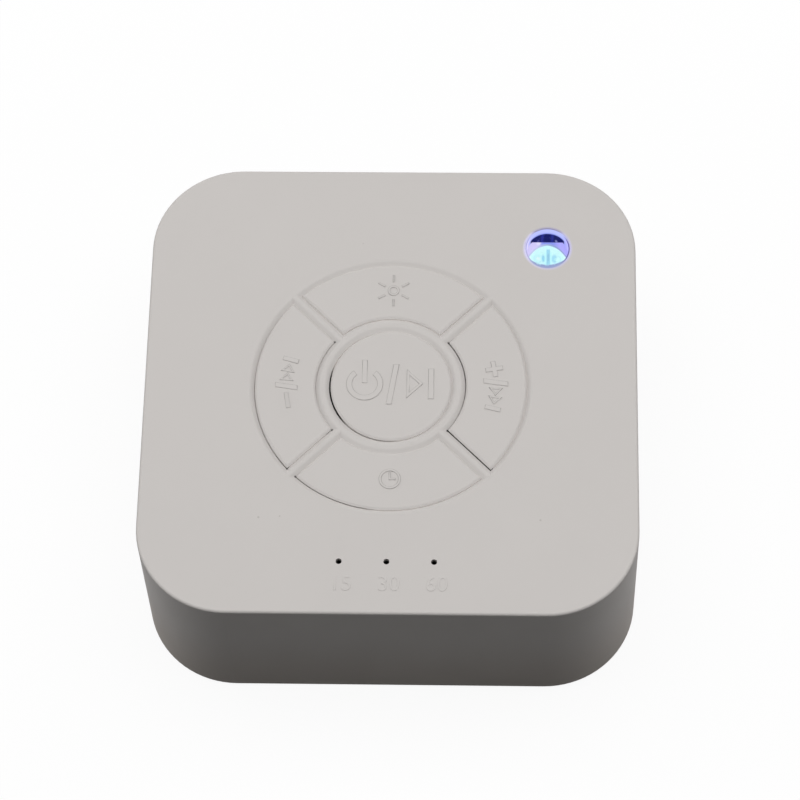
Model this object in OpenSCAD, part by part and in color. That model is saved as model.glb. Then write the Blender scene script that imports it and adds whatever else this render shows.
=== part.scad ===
// White noise sound machine: a deep square housing with five flush keys, a corner lamp and three
// timer lights on top, and a loudspeaker that fires down through an inset base cover.
// Origin on the resting plane under the centre; +Z up, the front with the timer lights faces -Y.

/* [Housing] */
// Width of the housing, side to side, at its top
body_w = 104; // [102:1:116]
// Depth of the housing, front to back, at its top
body_d = 104; // [102:1:116]
// Height of the housing without the feet
body_h = 39; // [38:0.5:46]
// Radius of the upright corners
corner_r = 19.2; // [17:0.2:21]
// Thickness of the side walls at their top
wall_t = 2.2; // [1.8:0.1:2.6]
// Draft of the side walls: how far their lower rim stands out beyond their top
wall_draft = 0.45; // [0.2:0.05:0.6]
// Thickness of the top plate
top_t = 2.4; // [2:0.1:3]
// Rounding of the top edge
top_edge_r = 0.6; // [0.3:0.1:1]

/* [Keys] */
// Radius of the round centre key
centre_key_r = 12.8; // [12:0.1:13]
// Inner radius of the four arc keys
arc_inner_r = 15.9; // [15.7:0.1:16.5]
// Outer radius of the four arc keys
arc_outer_r = 28.7; // [27.5:0.1:29.5]
// Width of the bars of the housing between two arc keys
spoke_w = 2.5; // [2.3:0.1:3]
// Gap between an arc key and its opening
key_gap = 0.1; // [0.08:0.01:0.2]
// Gap between the centre key and its opening
centre_gap = 0.17; // [0.15:0.01:0.25]
// Depth of the key tops below the top plate
key_sink = 0.1; // [0:0.05:0.3]
// Width of the soft edge of a key
key_edge_w = 0.6; // [0.3:0.05:0.7]
// Width of the soft edge round a key opening
opening_edge_w = 1.2; // [0.8:0.05:1.2]
// Slope at which the soft edges of openings and keys end, in degrees
soft_edge_a = 36; // [30:1:40]
// Travel of a key
key_travel = 0.5; // [0.3:0.1:0.6]
// Thickness of the skin of a key
key_skin_t = 1.9; // [1.5:0.1:2.2]
// Width of the lip that holds a key behind the top plate
key_lip_w = 0.9; // [0.6:0.1:1]
// Thickness of that lip
key_lip_t = 1; // [0.8:0.1:1.3]
// Radius of the post under a key
key_post_r = 2.2; // [1.8:0.1:2.6]

/* [Main board] */
// Gap between the housing wall and the edge of the board
board_margin = 4.8; // [4:0.1:5.4]
// Thickness of the board
board_t = 1.6; // [1.2:0.1:2]
// Height of the space between the board and the top plate
board_drop = 9; // [8.6:0.1:9.4]
// Side of the square switches
switch_w = 6; // [5.6:0.1:6.4]
// Height of a switch with its cover plate
switch_h = 3.5; // [3.2:0.1:3.8]
// Radius of a switch plunger
plunger_r = 1.75; // [1.5:0.05:1.85]

/* [Corner lamp] */
// Distance of the lamp from the right and rear faces
lamp_inset = 18.9; // [18.2:0.1:19]
// Radius of the lamp hole
lamp_hole_r = 4.9; // [4.7:0.1:5.1]
// Depth of the lamp window below the top
lamp_sink = 1.5; // [1.3:0.1:1.6]
// Thickness of the lamp window
lamp_window_t = 0.8; // [0.6:0.1:1]

/* [Timer lights] */
// Distance of the timer lights from the front face
timer_inset = 11.6; // [11:0.1:12]
// Spacing of the timer lights
timer_pitch = 9.8; // [8.5:0.1:11]
// Diameter of the pinholes over the timer lights
timer_hole_d = 1.25; // [0.8:0.05:1.8]

/* [Base] */
// Thickness of the base cover
base_t = 2.2; // [1.8:0.1:2.6]
// Depth of the base cover inside the lower rim of the housing
base_sink = 0.3; // [0:0.1:0.6]
// Gap between the base cover and the housing
base_gap = 0.2; // [0.1:0.05:0.3]
// Height of the feet below the housing
foot_stand = 1; // [0.8:0.1:1.6]
// Radius of a foot
foot_r = 5; // [4:0.1:5.2]
// Distance of the feet from the side faces
foot_inset = 19; // [18.5:0.5:21]
// Diameter of a hole of the speaker grille
grille_hole_d = 2.2; // [1.6:0.1:2.6]
// Spacing of the rings of grille holes
grille_pitch = 4; // [3.6:0.1:4.2]

/* [Speaker] */
// Radius of the speaker frame
speaker_r = 26; // [25.5:0.1:26.5]
// Place of the speaker behind the centre
speaker_y = 8; // [7:0.5:9]
// Radius of the speaker magnet
magnet_r = 16; // [14:0.5:17]
// Height of the speaker magnet
magnet_h = 6; // [5:0.5:7]
// Thickness of the speaker gasket
gasket_t = 2; // [1.8:0.1:2.4]
// Travel of the speaker cone each way
cone_travel = 0.8; // [0.4:0.1:0.9]

/* [Battery] */
// Radius of the battery cell
battery_r = 9.2; // [8.8:0.1:9.4]
// Length of the battery cell
battery_len = 50; // [48:1:54]
// Distance of the battery axis from the front face
battery_inset = 18; // [17.5:0.5:18.5]

/* [Sockets] */
// Distance of the charging socket to the right of the centre
usb_x = -10; // [-14:0.5:-8]
// Distance of the headphone socket to the right of the centre
jack_x = 10; // [8:0.5:14]
// Radius of the headphone bore
jack_bore_r = 1.8; // [1.7:0.05:1.9]
// Width of the charging socket
usb_w = 8.94; // [8.6:0.02:9.2]
// Height of the charging socket
usb_h = 3.26; // [3.1:0.02:3.4]

/* [Screws] */
// Distance of the housing screws from the side faces
post_inset = 11.5; // [11.4:0.1:11.8]
// Radius of the screw posts of the housing
post_r = 3.4; // [3.2:0.1:3.5]
// Radius of the housing screws
screw_r = 1.25; // [1:0.05:1.4]
// Radius of the board screws
board_screw_r = 1; // [0.8:0.05:1.1]

/* [Hidden] */
$fn = 72;
KEYS = ["centre", "light", "forward", "timer", "back"];
ARC_ANGLE = [0, 90, 0, 270, 180];

// Colours
case_grey = [0.78, 0.76, 0.75];
board_green = [0.05, 0.3, 0.14];
part_black = [0.08, 0.08, 0.09];
steel = [0.72, 0.73, 0.75];

// Small clearances: parts that touch lightly, running fits and cuts that pass a face
touch = 0.05;
run_gap = 0.15;
cut = 1;

// Levels
case_bottom = foot_stand;
case_top = case_bottom + body_h;
plate_under = case_top - top_t;
board_top = plate_under - board_drop;
board_under = board_top - board_t;
base_under = case_bottom + base_sink;
base_top = base_under + base_t;
half_w = body_w / 2;
half_d = body_d / 2;
inner_w = body_w - 2 * wall_t;
inner_d = body_d - 2 * wall_t;
inner_r = corner_r - wall_t;

// Keys
key_top = case_top - key_sink;
lip_play = 0.15;
lip_top = plate_under - lip_play;
lip_under = lip_top - key_lip_t;
key_well_top = key_top - key_skin_t;
spoke_half = spoke_w / 2;
arc_key_side = spoke_half + key_gap;
arc_mid_r = (arc_inner_r + arc_outer_r) / 2;
reach = arc_outer_r * 2;
well_rim_gap = 1.4;
well_rim_t = 1.2;
well_rim_h = 3;
// How far each key stands off the middle of its opening, as assembled
KEY_SHIFT = [[0.14, 0.02], [-0.02, 0.03], [0.06, 0.05], [0.04, 0.04], [0.04, 0.05]];

// Switches
switch_top = board_top + switch_h;
plunger_top = switch_top + 1.5;
plunger_flange_r = plunger_r + 0.5;
plunger_flange_t = 0.5;
switch_cover_t = 0.25;
switch_body_top = switch_top - switch_cover_t;
plunger_bottom = switch_body_top - run_gap - plunger_flange_t;
dome_h = key_travel + 0.1;
dome_t = 0.12;
dome_floor = plunger_bottom - touch - dome_h - dome_t;

// Corner lamp
lamp_x = half_w - lamp_inset;
lamp_y = half_d - lamp_inset;
lamp_ring_r = lamp_hole_r - touch;
lamp_bore_r = lamp_ring_r - 0.35;
lamp_window_r = lamp_bore_r - touch;
lamp_window_top = case_top - lamp_sink;
lamp_window_under = lamp_window_top - lamp_window_t;
lamp_flange_r = lamp_hole_r + 0.6;
lamp_flange_t = 1.6;
lamp_flange_under = plate_under - lamp_flange_t;
lamp_wall_t = 0.8;
tower_r = lamp_bore_r - touch;
bell_t = 0.5;
bell_r = tower_r - 0.15;
bell_peak = 1.95;
shelf_top = lamp_window_under - bell_t;
shelf_t = 0.8;
shelf_edge_y = 3;

// Timer lights
timer_y = -half_d + timer_inset;
led_h = 0.8;
light_block_d = 5;
light_block_w = 2 * timer_pitch + 6;

// Base screws and posts
post_x = half_w - post_inset;
post_y = half_d - post_inset;
boss_r = post_r + 0.4;
boss_top = base_top + 2.5;
screw_head_r = screw_r * 1.8;
screw_head_t = 1.8;
screw_well_r = screw_head_r + 0.4;
screw_seat = base_under + 2.8;
screw_len = 11;
foot_x = half_w - foot_inset;
foot_y = half_d - foot_inset;
foot_seat = base_under + 1;
foot_edge_r = 0.6;
base_lip_inset = 0.3;
base_lip_t = 1.2;
base_lip_h = 2;

// Board fixings: a boss of the top plate over each screw
board_boss_r = 2.6;
board_side_x = half_w - 13.5;
board_front_x = 26;
board_front_y = half_d - 14;
board_rear_x = 25;
board_rear_y = half_d - 13.5;
BOARD_SCREWS = [
    [board_side_x, -5], [-board_side_x, -5],
    [board_front_x, -board_front_y], [-board_front_x, -board_front_y],
    [-board_rear_x, board_rear_y]
];
board_screw_len = 6;
board_head_r = board_screw_r * 1.9;
board_head_t = 1.4;
board_w = inner_w - 2 * board_margin;
board_d = inner_d - 2 * board_margin;
board_corner_r = 12;
board_tab_w = 44;
board_notch_r = post_r + 0.9;

// Parts on the board
chip_x = half_w - 17;
sound_chip_y = 22;
memory_chip_y = 10;
supply_y = half_d - 15;
sound_chip_size = [10.4, 7.4, 2];
small_chip_size = [5.2, 4, 1.4];
leg_pitch = 1.27;
leg_w = 0.4;
leg_d = 1.2;
leg_t = 0.3;
inductor_w = 6;
capacitor_r = 2.5;
timer_led_w = 1.6;
lamp_led_w = 1.6;
lamp_led_x = 1.5;
lamp_led_y = -0.9;

// Sockets at the rear wall, under the board
socket_mouth_y = half_d - 0.3;
usb_len = 7.3;
usb_skin = 0.3;
usb_z = board_under - usb_h / 2;
jack_body_w = 6.4;
jack_body_h = 5;
jack_body_len = 12;
jack_z = board_under - jack_body_h / 2;
jack_body_y = half_d - wall_t - 0.2;
jack_collar_r = 3;
jack_bore_len = 13;
board_tab_y = inner_d / 2 - 1.4;

// Speaker, measured from the front face of its frame
speaker_front = base_top + gasket_t;
frame_lip_t = 1;
frame_seat_r = speaker_r - 1.8;
basket_h = 7;
basket_top_r = magnet_r + 0.4;
basket_foot_r = frame_seat_r + 0.4;
basket_t = 0.8;
basket_step = 2.4;
front_plate_t = 2;
yoke_t = 2;
coil_r = 7;
coil_t = 0.5;
winding_h = front_plate_t + 2 * cone_travel;
winding_top = speaker_front + basket_h + (front_plate_t + winding_h) / 2;
pole_r = coil_r - coil_t - 0.3;
cone_edge_r = frame_seat_r - 3.7;
cone_t = 0.5;
roll_t = 0.4;
cap_rise = 2.2;
cap_t = 0.4;
cap_rim = 0.4;
cone_edge_z = speaker_front - roll_t;
cone_depth = 5.3;
cone_neck_z = cone_edge_z + cone_depth;
spider_r = 14;
grille_rings = 5;
cloth_t = 0.3;
cloth_r = frame_seat_r - 0.2;
clamp_screws = 3;
clamp_r = speaker_r + 2.6;
clamp_head_r = 3.6;
clamp_seat = speaker_front + frame_lip_t;

// Battery
battery_y = -half_d + battery_inset;
battery_pad_t = 1;
battery_z = base_top + battery_pad_t + battery_r;
cradle_t = 2;
cradle_x = battery_len / 3;
cradle_d = battery_r * 1.6;
cradle_h = battery_r * 0.65;
pad_w = battery_len / 3;
pad_d = battery_r;

// Leads, from a socket under the right side of the board
lead_r = 0.6;
lead_gap = 1;
lead_drop = 8;
lead_socket = [7.5, 4.8, 5.5];
lead_x = half_w - 14;
battery_lead_y = -18;
speaker_lead_y = 14;

// ---------- Shared shapes ----------

// Points of a quarter round in the upper edge of an outline, from angle a to angle b
function quarter(x, z, r, a, b, n = 5) = [
    for (i = [0:n]) let (t = a + (b - a) * i / n) [x + r * cos(t), z + r * sin(t)]
];

// Soft edge of width w that rises from x to a flat top at z on the given side of x: a straight slope, then
// a rounding with the radius r
function soft_edge(x, z, side, w) = let (r = w / 2 / sin(soft_edge_a)) concat(
    [[x, z - r * (1 - cos(soft_edge_a)) - w / 2 * tan(soft_edge_a)]],
    quarter(x + side * w, z - r, r, 90 + side * soft_edge_a, 90)
);

// Soft edge of a key opening at x, whose plate lies on the given side of x
function opening_edge(x, side) = soft_edge(x, case_top, side, opening_edge_w);

function reversed(points) = [for (i = [len(points) - 1:-1:0]) points[i]];

// Square with round corners
module round_rect(w, d, r) {
    square([w - 2 * r, d], center = true);
    square([w, d - 2 * r], center = true);
    for (x = [-1, 1], y = [-1, 1]) translate([x * (w / 2 - r), y * (d / 2 - r)]) circle(r);
}

// Square plate with round corners
module round_plate(w, d, r, z1, z2) {
    translate([0, 0, z1]) linear_extrude(z2 - z1) round_rect(w, d, r);
}

// Half section of a block, from its corner axis to its face, with a rounded upper edge and a draft
module edge_section(r, z1, z2, e, draft) {
    difference() {
        polygon([[0, z1], [r + draft, z1], [r, z2 - e], [r, z2], [0, z2]]);
        difference() {
            translate([r - e, z2 - e]) square(e + cut);
            translate([r - e, z2 - e]) circle(e);
        }
    }
}

// Block with round corners, a rounded upper edge all round, and sides that widen downwards
module rounded_block(w, d, r, z1, z2, e, draft) {
    x = w / 2 - r;
    y = d / 2 - r;
    translate([-x, -y, z1]) cube([2 * x, 2 * y, z2 - z1]);
    for (i = [0:3]) {
        along = i % 2 == 0 ? y : x;
        out = i % 2 == 0 ? x : y;
        rotate(90 * i) translate([out, along, 0]) {
            rotate([90, 0, 0]) linear_extrude(2 * along) edge_section(r, z1, z2, e, draft);
            rotate_extrude(angle = 90) edge_section(r, z1, z2, e, draft);
        }
    }
}

module tube(r_out, r_in, z1, z2) {
    translate([0, 0, z1]) difference() {
        cylinder(r = r_out, h = z2 - z1);
        translate([0, 0, -cut]) cylinder(r = r_in, h = z2 - z1 + 2 * cut);
    }
}

module rod(r, z1, z2) {
    translate([0, 0, z1]) cylinder(r = r, h = z2 - z1);
}

module at_posts() {
    for (x = [-1, 1], y = [-1, 1]) translate([x * post_x, y * post_y, 0]) children();
}

module at_feet() {
    for (x = [-1, 1], y = [-1, 1]) translate([x * foot_x, y * foot_y, 0]) children();
}

module at_board_screws() {
    for (p = BOARD_SCREWS) translate([p[0], p[1], 0]) children();
}

module at_timer_lights() {
    for (i = [-1:1]) translate([i * timer_pitch, timer_y, 0]) children();
}

module at_lamp() {
    translate([lamp_x, lamp_y, 0]) children();
}

module at_speaker() {
    translate([0, speaker_y, 0]) children();
}

module at_clamp_screws() {
    step = 360 / clamp_screws;
    for (i = [0:clamp_screws - 1]) rotate(90 + step * i) translate([clamp_r, 0, 0]) children();
}

// Place of the switch under key i
module at_switch(i) {
    rotate(ARC_ANGLE[i]) translate([i == 0 ? 0 : arc_mid_r, 0, 0]) children();
}

// Bar with half-round ends, along X, standing in the XZ plane and running back from y
module stadium_bar(w, h, y, len) {
    translate([0, y, 0]) rotate([90, 0, 0]) linear_extrude(len) {
        square([w - h, h], center = true);
        for (x = [-1, 1]) translate([x * (w - h) / 2, 0]) circle(d = h);
    }
}

// ---------- Key openings and keys ----------

// Space over a round opening, with the plate's soft edge
module round_opening(r, z1) {
    rotate_extrude() polygon(concat(
        [[0, z1], [r, z1]],
        opening_edge(r, 1),
        [[r + opening_edge_w, case_top + cut], [0, case_top + cut]]
    ));
}

// Everything further than h from a line along Y, with the soft edge of an opening
module spoke_opening(h, z1) {
    rotate([90, 0, 0]) linear_extrude(2 * reach, center = true) polygon(concat(
        [[reach, case_top + cut], [reach, z1], [h, z1]],
        opening_edge(h, -1),
        [[h - opening_edge_w, case_top + cut]]
    ));
}

// Opening for an arc key that faces +X
module arc_opening(r1, r2, h, z1) {
    intersection() {
        rotate_extrude() polygon(concat(
            [[r1, z1], [r2, z1]],
            opening_edge(r2, 1),
            [[r2 + opening_edge_w, case_top + cut], [r1 - opening_edge_w, case_top + cut]],
            reversed(opening_edge(r1, -1))
        ));
        rotate(45) spoke_opening(h, z1);
        rotate(-45) spoke_opening(h, z1);
    }
}

// Plan of an arc key that faces +X
module arc_plan(r1, r2, h) {
    apex = h * sqrt(2);
    intersection() {
        difference() {
            circle(r2);
            circle(r1);
        }
        polygon([[apex, 0], [apex + reach, reach], [apex + reach, -reach]]);
    }
}

// Upper part of an arc key, with soft top edges
module arc_crown(z1, z2) {
    intersection() {
        rotate_extrude() polygon(concat(
            [[arc_inner_r, z1], [arc_outer_r, z1]],
            soft_edge(arc_outer_r, z2, -1, key_edge_w),
            reversed(soft_edge(arc_inner_r, z2, 1, key_edge_w))
        ));
        rotate(45) spoke_crown(z1, z2);
        rotate(-45) spoke_crown(z1, z2);
    }
}

// Everything beyond the side of an arc key, with a soft upper edge
module spoke_crown(z1, z2) {
    rotate([90, 0, 0]) linear_extrude(2 * reach, center = true) polygon(concat(
        [[arc_key_side, z1], [reach, z1], [reach, z2]],
        reversed(soft_edge(arc_key_side, z2, 1, key_edge_w))
    ));
}

// Key i: a hollow cap with a lip that holds it in, and a post over its switch
module key(i) {
    color(case_grey) translate(KEY_SHIFT[i]) {
        if (i == 0) centre_cap(); else rotate(ARC_ANGLE[i]) arc_cap();
        at_switch(i) rod(key_post_r, plunger_top, key_well_top);
        at_switch(i) for (turn = [0, 90]) rotate(turn) key_rib();
    }
}

// Thin rib through the post of a key
module key_rib() {
    rib_len = 2 * key_post_r + 4;
    rib_t = 0.8;
    translate([-rib_len / 2, -rib_t / 2, lip_under]) cube([rib_len, rib_t, key_well_top - lip_under]);
}

module centre_cap() {
    difference() {
        union() {
            rotate_extrude() polygon(concat(
                [[0, lip_under], [centre_key_r, lip_under]],
                soft_edge(centre_key_r, key_top, -1, key_edge_w),
                [[0, key_top]]
            ));
            rod(centre_key_r + centre_gap + key_lip_w, lip_under, lip_top);
        }
        rod(centre_key_r - key_skin_t, lip_under - cut, key_well_top);
    }
}

module arc_cap() {
    lip = key_gap + key_lip_w;
    skin = key_skin_t;
    difference() {
        union() {
            arc_crown(lip_under, key_top);
            translate([0, 0, lip_under]) linear_extrude(key_lip_t)
                arc_plan(arc_inner_r - lip, arc_outer_r + lip, arc_key_side - lip);
        }
        translate([0, 0, lip_under - cut]) linear_extrude(key_well_top - lip_under + cut)
            arc_plan(arc_inner_r + skin, arc_outer_r - skin, arc_key_side + skin);
    }
}

// ---------- Housing ----------

module housing() {
    color(case_grey) difference() {
        union() {
            difference() {
                rounded_block(body_w, body_d, corner_r, case_bottom, case_top, top_edge_r, wall_draft);
                round_plate(inner_w, inner_d, inner_r, case_bottom - cut, plate_under);
            }
            at_posts() rod(post_r, boss_top, plate_under);
            post_webs();
            at_board_screws() rod(board_boss_r, board_top, plate_under);
            key_well_rim();
        }
        round_opening(centre_key_r + centre_gap, plate_under - cut);
        for (i = [1:4]) rotate(ARC_ANGLE[i])
            arc_opening(arc_inner_r - key_gap, arc_outer_r + key_gap, spoke_half, plate_under - cut);
        at_posts() rod(screw_r + touch, boss_top - cut, screw_seat + screw_len + 1);
        at_board_screws() rod(board_screw_r + touch, board_top - cut, board_under + board_screw_len + 0.5);
        at_lamp() rod(lamp_hole_r, plate_under - cut, case_top + cut);
        at_timer_lights() rod(timer_hole_d / 2, plate_under - cut, case_top + cut);
        translate([usb_x, 0, usb_z]) stadium_bar(usb_w + 0.6, usb_h + 0.6, half_d + cut, wall_t + 2 * cut);
        translate([jack_x, half_d + cut, jack_z]) rotate([90, 0, 0])
            cylinder(r = jack_collar_r + 0.2, h = wall_t + 2 * cut);
    }
}

// Webs that tie the screw posts to the corners
module post_webs() {
    web_t = 1.6;
    web_z = boss_top + 1;
    corner_axis = [half_w - corner_r, half_d - corner_r];
    post_out = norm([post_x, post_y] - corner_axis);
    for (x = [0, 1], y = [0, 1]) mirror([x, 0, 0]) mirror([0, y, 0])
        translate([corner_axis[0], corner_axis[1], web_z]) rotate(45) translate([post_out, -web_t / 2, 0])
            cube([inner_r + wall_t / 2 - post_out, web_t, plate_under - web_z]);
}

// Round rim under the top plate, outside the lips of the arc keys
module key_well_rim() {
    r = arc_outer_r + key_gap + key_lip_w + well_rim_gap;
    tube(r + well_rim_t, r, plate_under - well_rim_h, plate_under);
}

// ---------- Base ----------

module base_cover() {
    w = inner_w - 2 * base_gap;
    d = inner_d - 2 * base_gap;
    color(case_grey) difference() {
        union() {
            round_plate(w, d, inner_r - base_gap, base_under, base_top);
            base_lip(w - 2 * base_lip_inset, d - 2 * base_lip_inset, inner_r - base_gap - base_lip_inset);
            at_posts() rod(boss_r, base_top, boss_top);
            battery_cradles();
            at_speaker() at_clamp_screws() rod(2.4, base_top, clamp_seat);
        }
        at_posts() rod(screw_well_r, base_under - cut, screw_seat);
        at_posts() rod(screw_r + 0.2, base_under, boss_top + cut);
        at_feet() rod(foot_r + 0.2, base_under - cut, foot_seat);
        at_speaker() grille_holes();
        at_speaker() at_clamp_screws() rod(board_screw_r + touch, base_top + 0.4, clamp_seat + cut);
    }
}

// Low wall inside the edge of the base cover
module base_lip(w, d, r) {
    t = base_lip_t;
    difference() {
        round_plate(w, d, r, base_top, base_top + base_lip_h);
        round_plate(w - 2 * t, d - 2 * t, r - t, base_top - cut, base_top + base_lip_h + cut);
    }
}

// Two saddles that carry the battery cell
module battery_cradles() {
    for (x = [-1, 1]) translate([x * cradle_x - cradle_t / 2, battery_y, 0]) difference() {
        translate([0, -cradle_d / 2, base_top]) cube([cradle_t, cradle_d, cradle_h]);
        translate([-cut, 0, battery_z]) rotate([0, 90, 0])
            cylinder(r = battery_r + run_gap, h = cradle_t + 2 * cut);
    }
}

// Rings of round holes in front of the speaker
module grille_holes() {
    hole_r = grille_hole_d / 2;
    rod(hole_r, base_under - cut, base_top + cut);
    for (ring = [1:grille_rings], i = [0:6 * ring - 1]) rotate(60 / ring * i)
        translate([ring * grille_pitch, 0, 0]) rod(hole_r, base_under - cut, base_top + cut);
}

module rubber_feet() {
    color([0.16, 0.16, 0.17]) at_feet() rotate_extrude() polygon(concat(
        [[0, foot_seat], [foot_r, foot_seat], [foot_r, foot_edge_r]],
        quarter(foot_r - foot_edge_r, foot_edge_r, foot_edge_r, 0, -90),
        [[0, 0]]
    ));
}

// Pan head screw that points up, with a cross recess
module pan_screw(r, head_r, head_t, z_seat, len) {
    difference() {
        union() {
            rotate_extrude() polygon(concat(
                [[0, z_seat], [head_r, z_seat]],
                quarter(head_r - head_t / 2, z_seat - head_t / 2, head_t / 2, 0, -90),
                [[0, z_seat - head_t]]
            ));
            rod(r, z_seat, z_seat + len - r);
            translate([0, 0, z_seat + len - r]) cylinder(r1 = r, r2 = r / 3, h = r);
        }
        for (turn = [0, 90]) rotate(turn) translate([-head_r * 0.55, -r * 0.2, z_seat - head_t - cut])
            cube([head_r * 1.1, r * 0.4, cut + head_t * 0.6]);
    }
}

module housing_screws() {
    color(steel) at_posts() pan_screw(screw_r, screw_head_r, screw_head_t, screw_seat, screw_len);
}

// ---------- Switches ----------

module plunger(i) {
    color([0.9, 0.88, 0.8]) at_switch(i) {
        rod(plunger_r, plunger_bottom, plunger_top);
        rod(plunger_flange_r, plunger_bottom, plunger_bottom + plunger_flange_t);
    }
}

// Sheet steel cap under the plunger, which gives the click and lifts the key again
module snap_dome(i) {
    r = plunger_flange_r;
    color(steel) at_switch(i) translate([0, 0, dome_floor]) rotate_extrude() polygon(concat(
        [[0, dome_h], [r * 0.5, dome_h * 0.75], [r, 0]],
        [[r, dome_t], [r * 0.5, dome_h * 0.75 + dome_t], [0, dome_h + dome_t]]
    ));
}

module switch_block(z1, z2) {
    translate([-switch_w / 2, -switch_w / 2, z1]) cube([switch_w, switch_w, z2 - z1]);
}

module switch_bodies() {
    color(part_black) for (i = [0:4]) at_switch(i) rotate(-ARC_ANGLE[i]) difference() {
        switch_block(board_top, switch_body_top);
        rod(plunger_flange_r + run_gap, dome_floor, switch_body_top + cut);
    }
}

module switch_covers() {
    color(steel) for (i = [0:4]) at_switch(i) rotate(-ARC_ANGLE[i]) difference() {
        switch_block(switch_body_top, switch_top);
        rod(plunger_r + run_gap, switch_body_top - cut, switch_top + cut);
    }
}

// ---------- Main board ----------

module board_plan() {
    difference() {
        union() {
            round_rect(board_w, board_d, board_corner_r);
            translate([-board_tab_w / 2, 0]) square([board_tab_w, board_tab_y]);
        }
        at_posts() circle(board_notch_r);
        at_board_screws() circle(board_screw_r + run_gap);
    }
}

module main_board() {
    color(board_green) translate([0, 0, board_under]) linear_extrude(board_t) board_plan();
}

module board_screws() {
    color(steel) at_board_screws()
        pan_screw(board_screw_r, board_head_r, board_head_t, board_under, board_screw_len);
}

module timer_leds() {
    w = timer_led_w;
    color([0.95, 0.93, 0.8]) at_timer_lights() translate([-w / 2, -w / 4, board_top]) cube([w, w / 2, led_h]);
}

// Block with one light shaft per timer light, so that none lights its neighbour
module timer_light_block() {
    color(part_black) difference() {
        translate([-light_block_w / 2, timer_y - light_block_d / 2, board_top])
            cube([light_block_w, light_block_d, board_drop]);
        at_timer_lights() rod(timer_led_w * 0.75, board_top - cut, plate_under + cut);
    }
}

// Chip with a row of legs on two sides
module chip(x, y, size, legs) {
    along = (legs - 1) / 2 * leg_pitch;
    out = size[1] / 2 + leg_d / 3;
    translate([x, y, board_top]) {
        translate([-size[0] / 2, -size[1] / 2, touch]) cube(size);
        for (side = [-1, 1], i = [0:legs - 1]) let (x = i * leg_pitch - along)
            translate([x - leg_w / 2, side * out - leg_d / 2, 0]) cube([leg_w, leg_d, leg_t]);
    }
}

module sound_chip() {
    color(part_black) chip(-chip_x, sound_chip_y, sound_chip_size, 8);
}

module memory_chip() {
    color(part_black) chip(-chip_x, memory_chip_y, small_chip_size, 4);
}

module amplifier_chip() {
    color(part_black) chip(chip_x, memory_chip_y, small_chip_size, 4);
}

module charge_chip() {
    color(part_black) chip(usb_x - small_chip_size[0], supply_y, small_chip_size, 4);
}

module power_inductor() {
    w = inductor_w;
    color([0.2, 0.2, 0.22]) translate([0, supply_y, board_top]) difference() {
        translate([-w / 2, -w / 2, 0]) cube([w, w, w / 2]);
        for (x = [-1, 1]) translate([x * w * 0.58, 0, 0]) rod(w / 6, -cut, w);
    }
}

module filter_capacitors() {
    r = capacitor_r;
    h = capacitor_r * 2.2;
    waist = h / 5;
    color(steel) for (i = [1, 2]) translate([i * r * 2.8 + inductor_w / 2, supply_y, board_top])
        rotate_extrude() polygon(concat(
            [[0, 0], [r, 0], [r, waist], [r * 0.92, waist * 1.3], [r, waist * 1.6]],
            quarter(r * 0.85, h - r * 0.15, r * 0.15, 0, 90),
            [[0, h]]
        ));
}

// ---------- Corner lamp ----------

// Milky ring that lines the lamp hole and holds the window
module lamp_ring() {
    color([0.8, 0.78, 0.95]) at_lamp() rotate_extrude() polygon([
        [lamp_bore_r, case_top - 0.1],
        [lamp_ring_r, case_top - 0.1],
        [lamp_ring_r, plate_under],
        [lamp_flange_r, plate_under],
        [lamp_flange_r, lamp_flange_under],
        [lamp_bore_r, lamp_flange_under]
    ]);
}

module lamp_window() {
    color([0.75, 0.85, 1, 0.5]) at_lamp() rod(lamp_window_r, lamp_window_under, lamp_window_top);
}

// Dark tube between the board and the ring, which keeps the light in the lamp
module lamp_shroud() {
    color(part_black) at_lamp()
        tube(lamp_flange_r, lamp_flange_r - lamp_wall_t, board_top, lamp_flange_under);
}

// White tower over the two lamps, with a shelf under the front of the window
module lamp_holder() {
    color([0.9, 0.9, 0.95]) at_lamp() difference() {
        rod(tower_r, board_top, shelf_top);
        rod(tower_r - lamp_wall_t, board_top - cut, shelf_top - shelf_t);
        translate([-tower_r, shelf_edge_y, board_top - cut]) cube([2 * tower_r, tower_r, board_drop + cut]);
        translate([0, 0, shelf_top - shelf_t - cut]) linear_extrude(shelf_t + 2 * cut)
            bell_plan(bell_r - 0.8, bell_peak - 0.8);
    }
}

// Outline of a bell with its foot on a circle
module bell_plan(r, peak) {
    points = 24;
    intersection() {
        circle(r);
        polygon(concat(
            [for (i = [0:points]) let (x = r * (2 * i / points - 1)) [x, peak - 0.25 * pow(abs(x), 1.85)]],
            [[r, -r], [-r, -r]]
        ));
    }
}

// Bell-shaped lens over the opening in the shelf
module lamp_diffuser() {
    color([0.8, 1, 1]) at_lamp() translate([0, 0, shelf_top]) linear_extrude(bell_t)
        bell_plan(bell_r, bell_peak);
}

module lamp_leds() {
    w = lamp_led_w;
    color([1, 0.97, 0.7]) at_lamp() for (side = [-1, 1])
        translate([side * lamp_led_x - w / 2, lamp_led_y - w / 2, board_top]) cube([w, w, led_h]);
}

// ---------- Sockets ----------

module usb_shell() {
    skin = usb_skin;
    color(steel) translate([usb_x, 0, usb_z]) difference() {
        stadium_bar(usb_w, usb_h, socket_mouth_y, usb_len);
        stadium_bar(usb_w - 2 * skin, usb_h - 2 * skin, socket_mouth_y + cut, usb_len - skin + cut);
    }
}

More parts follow.
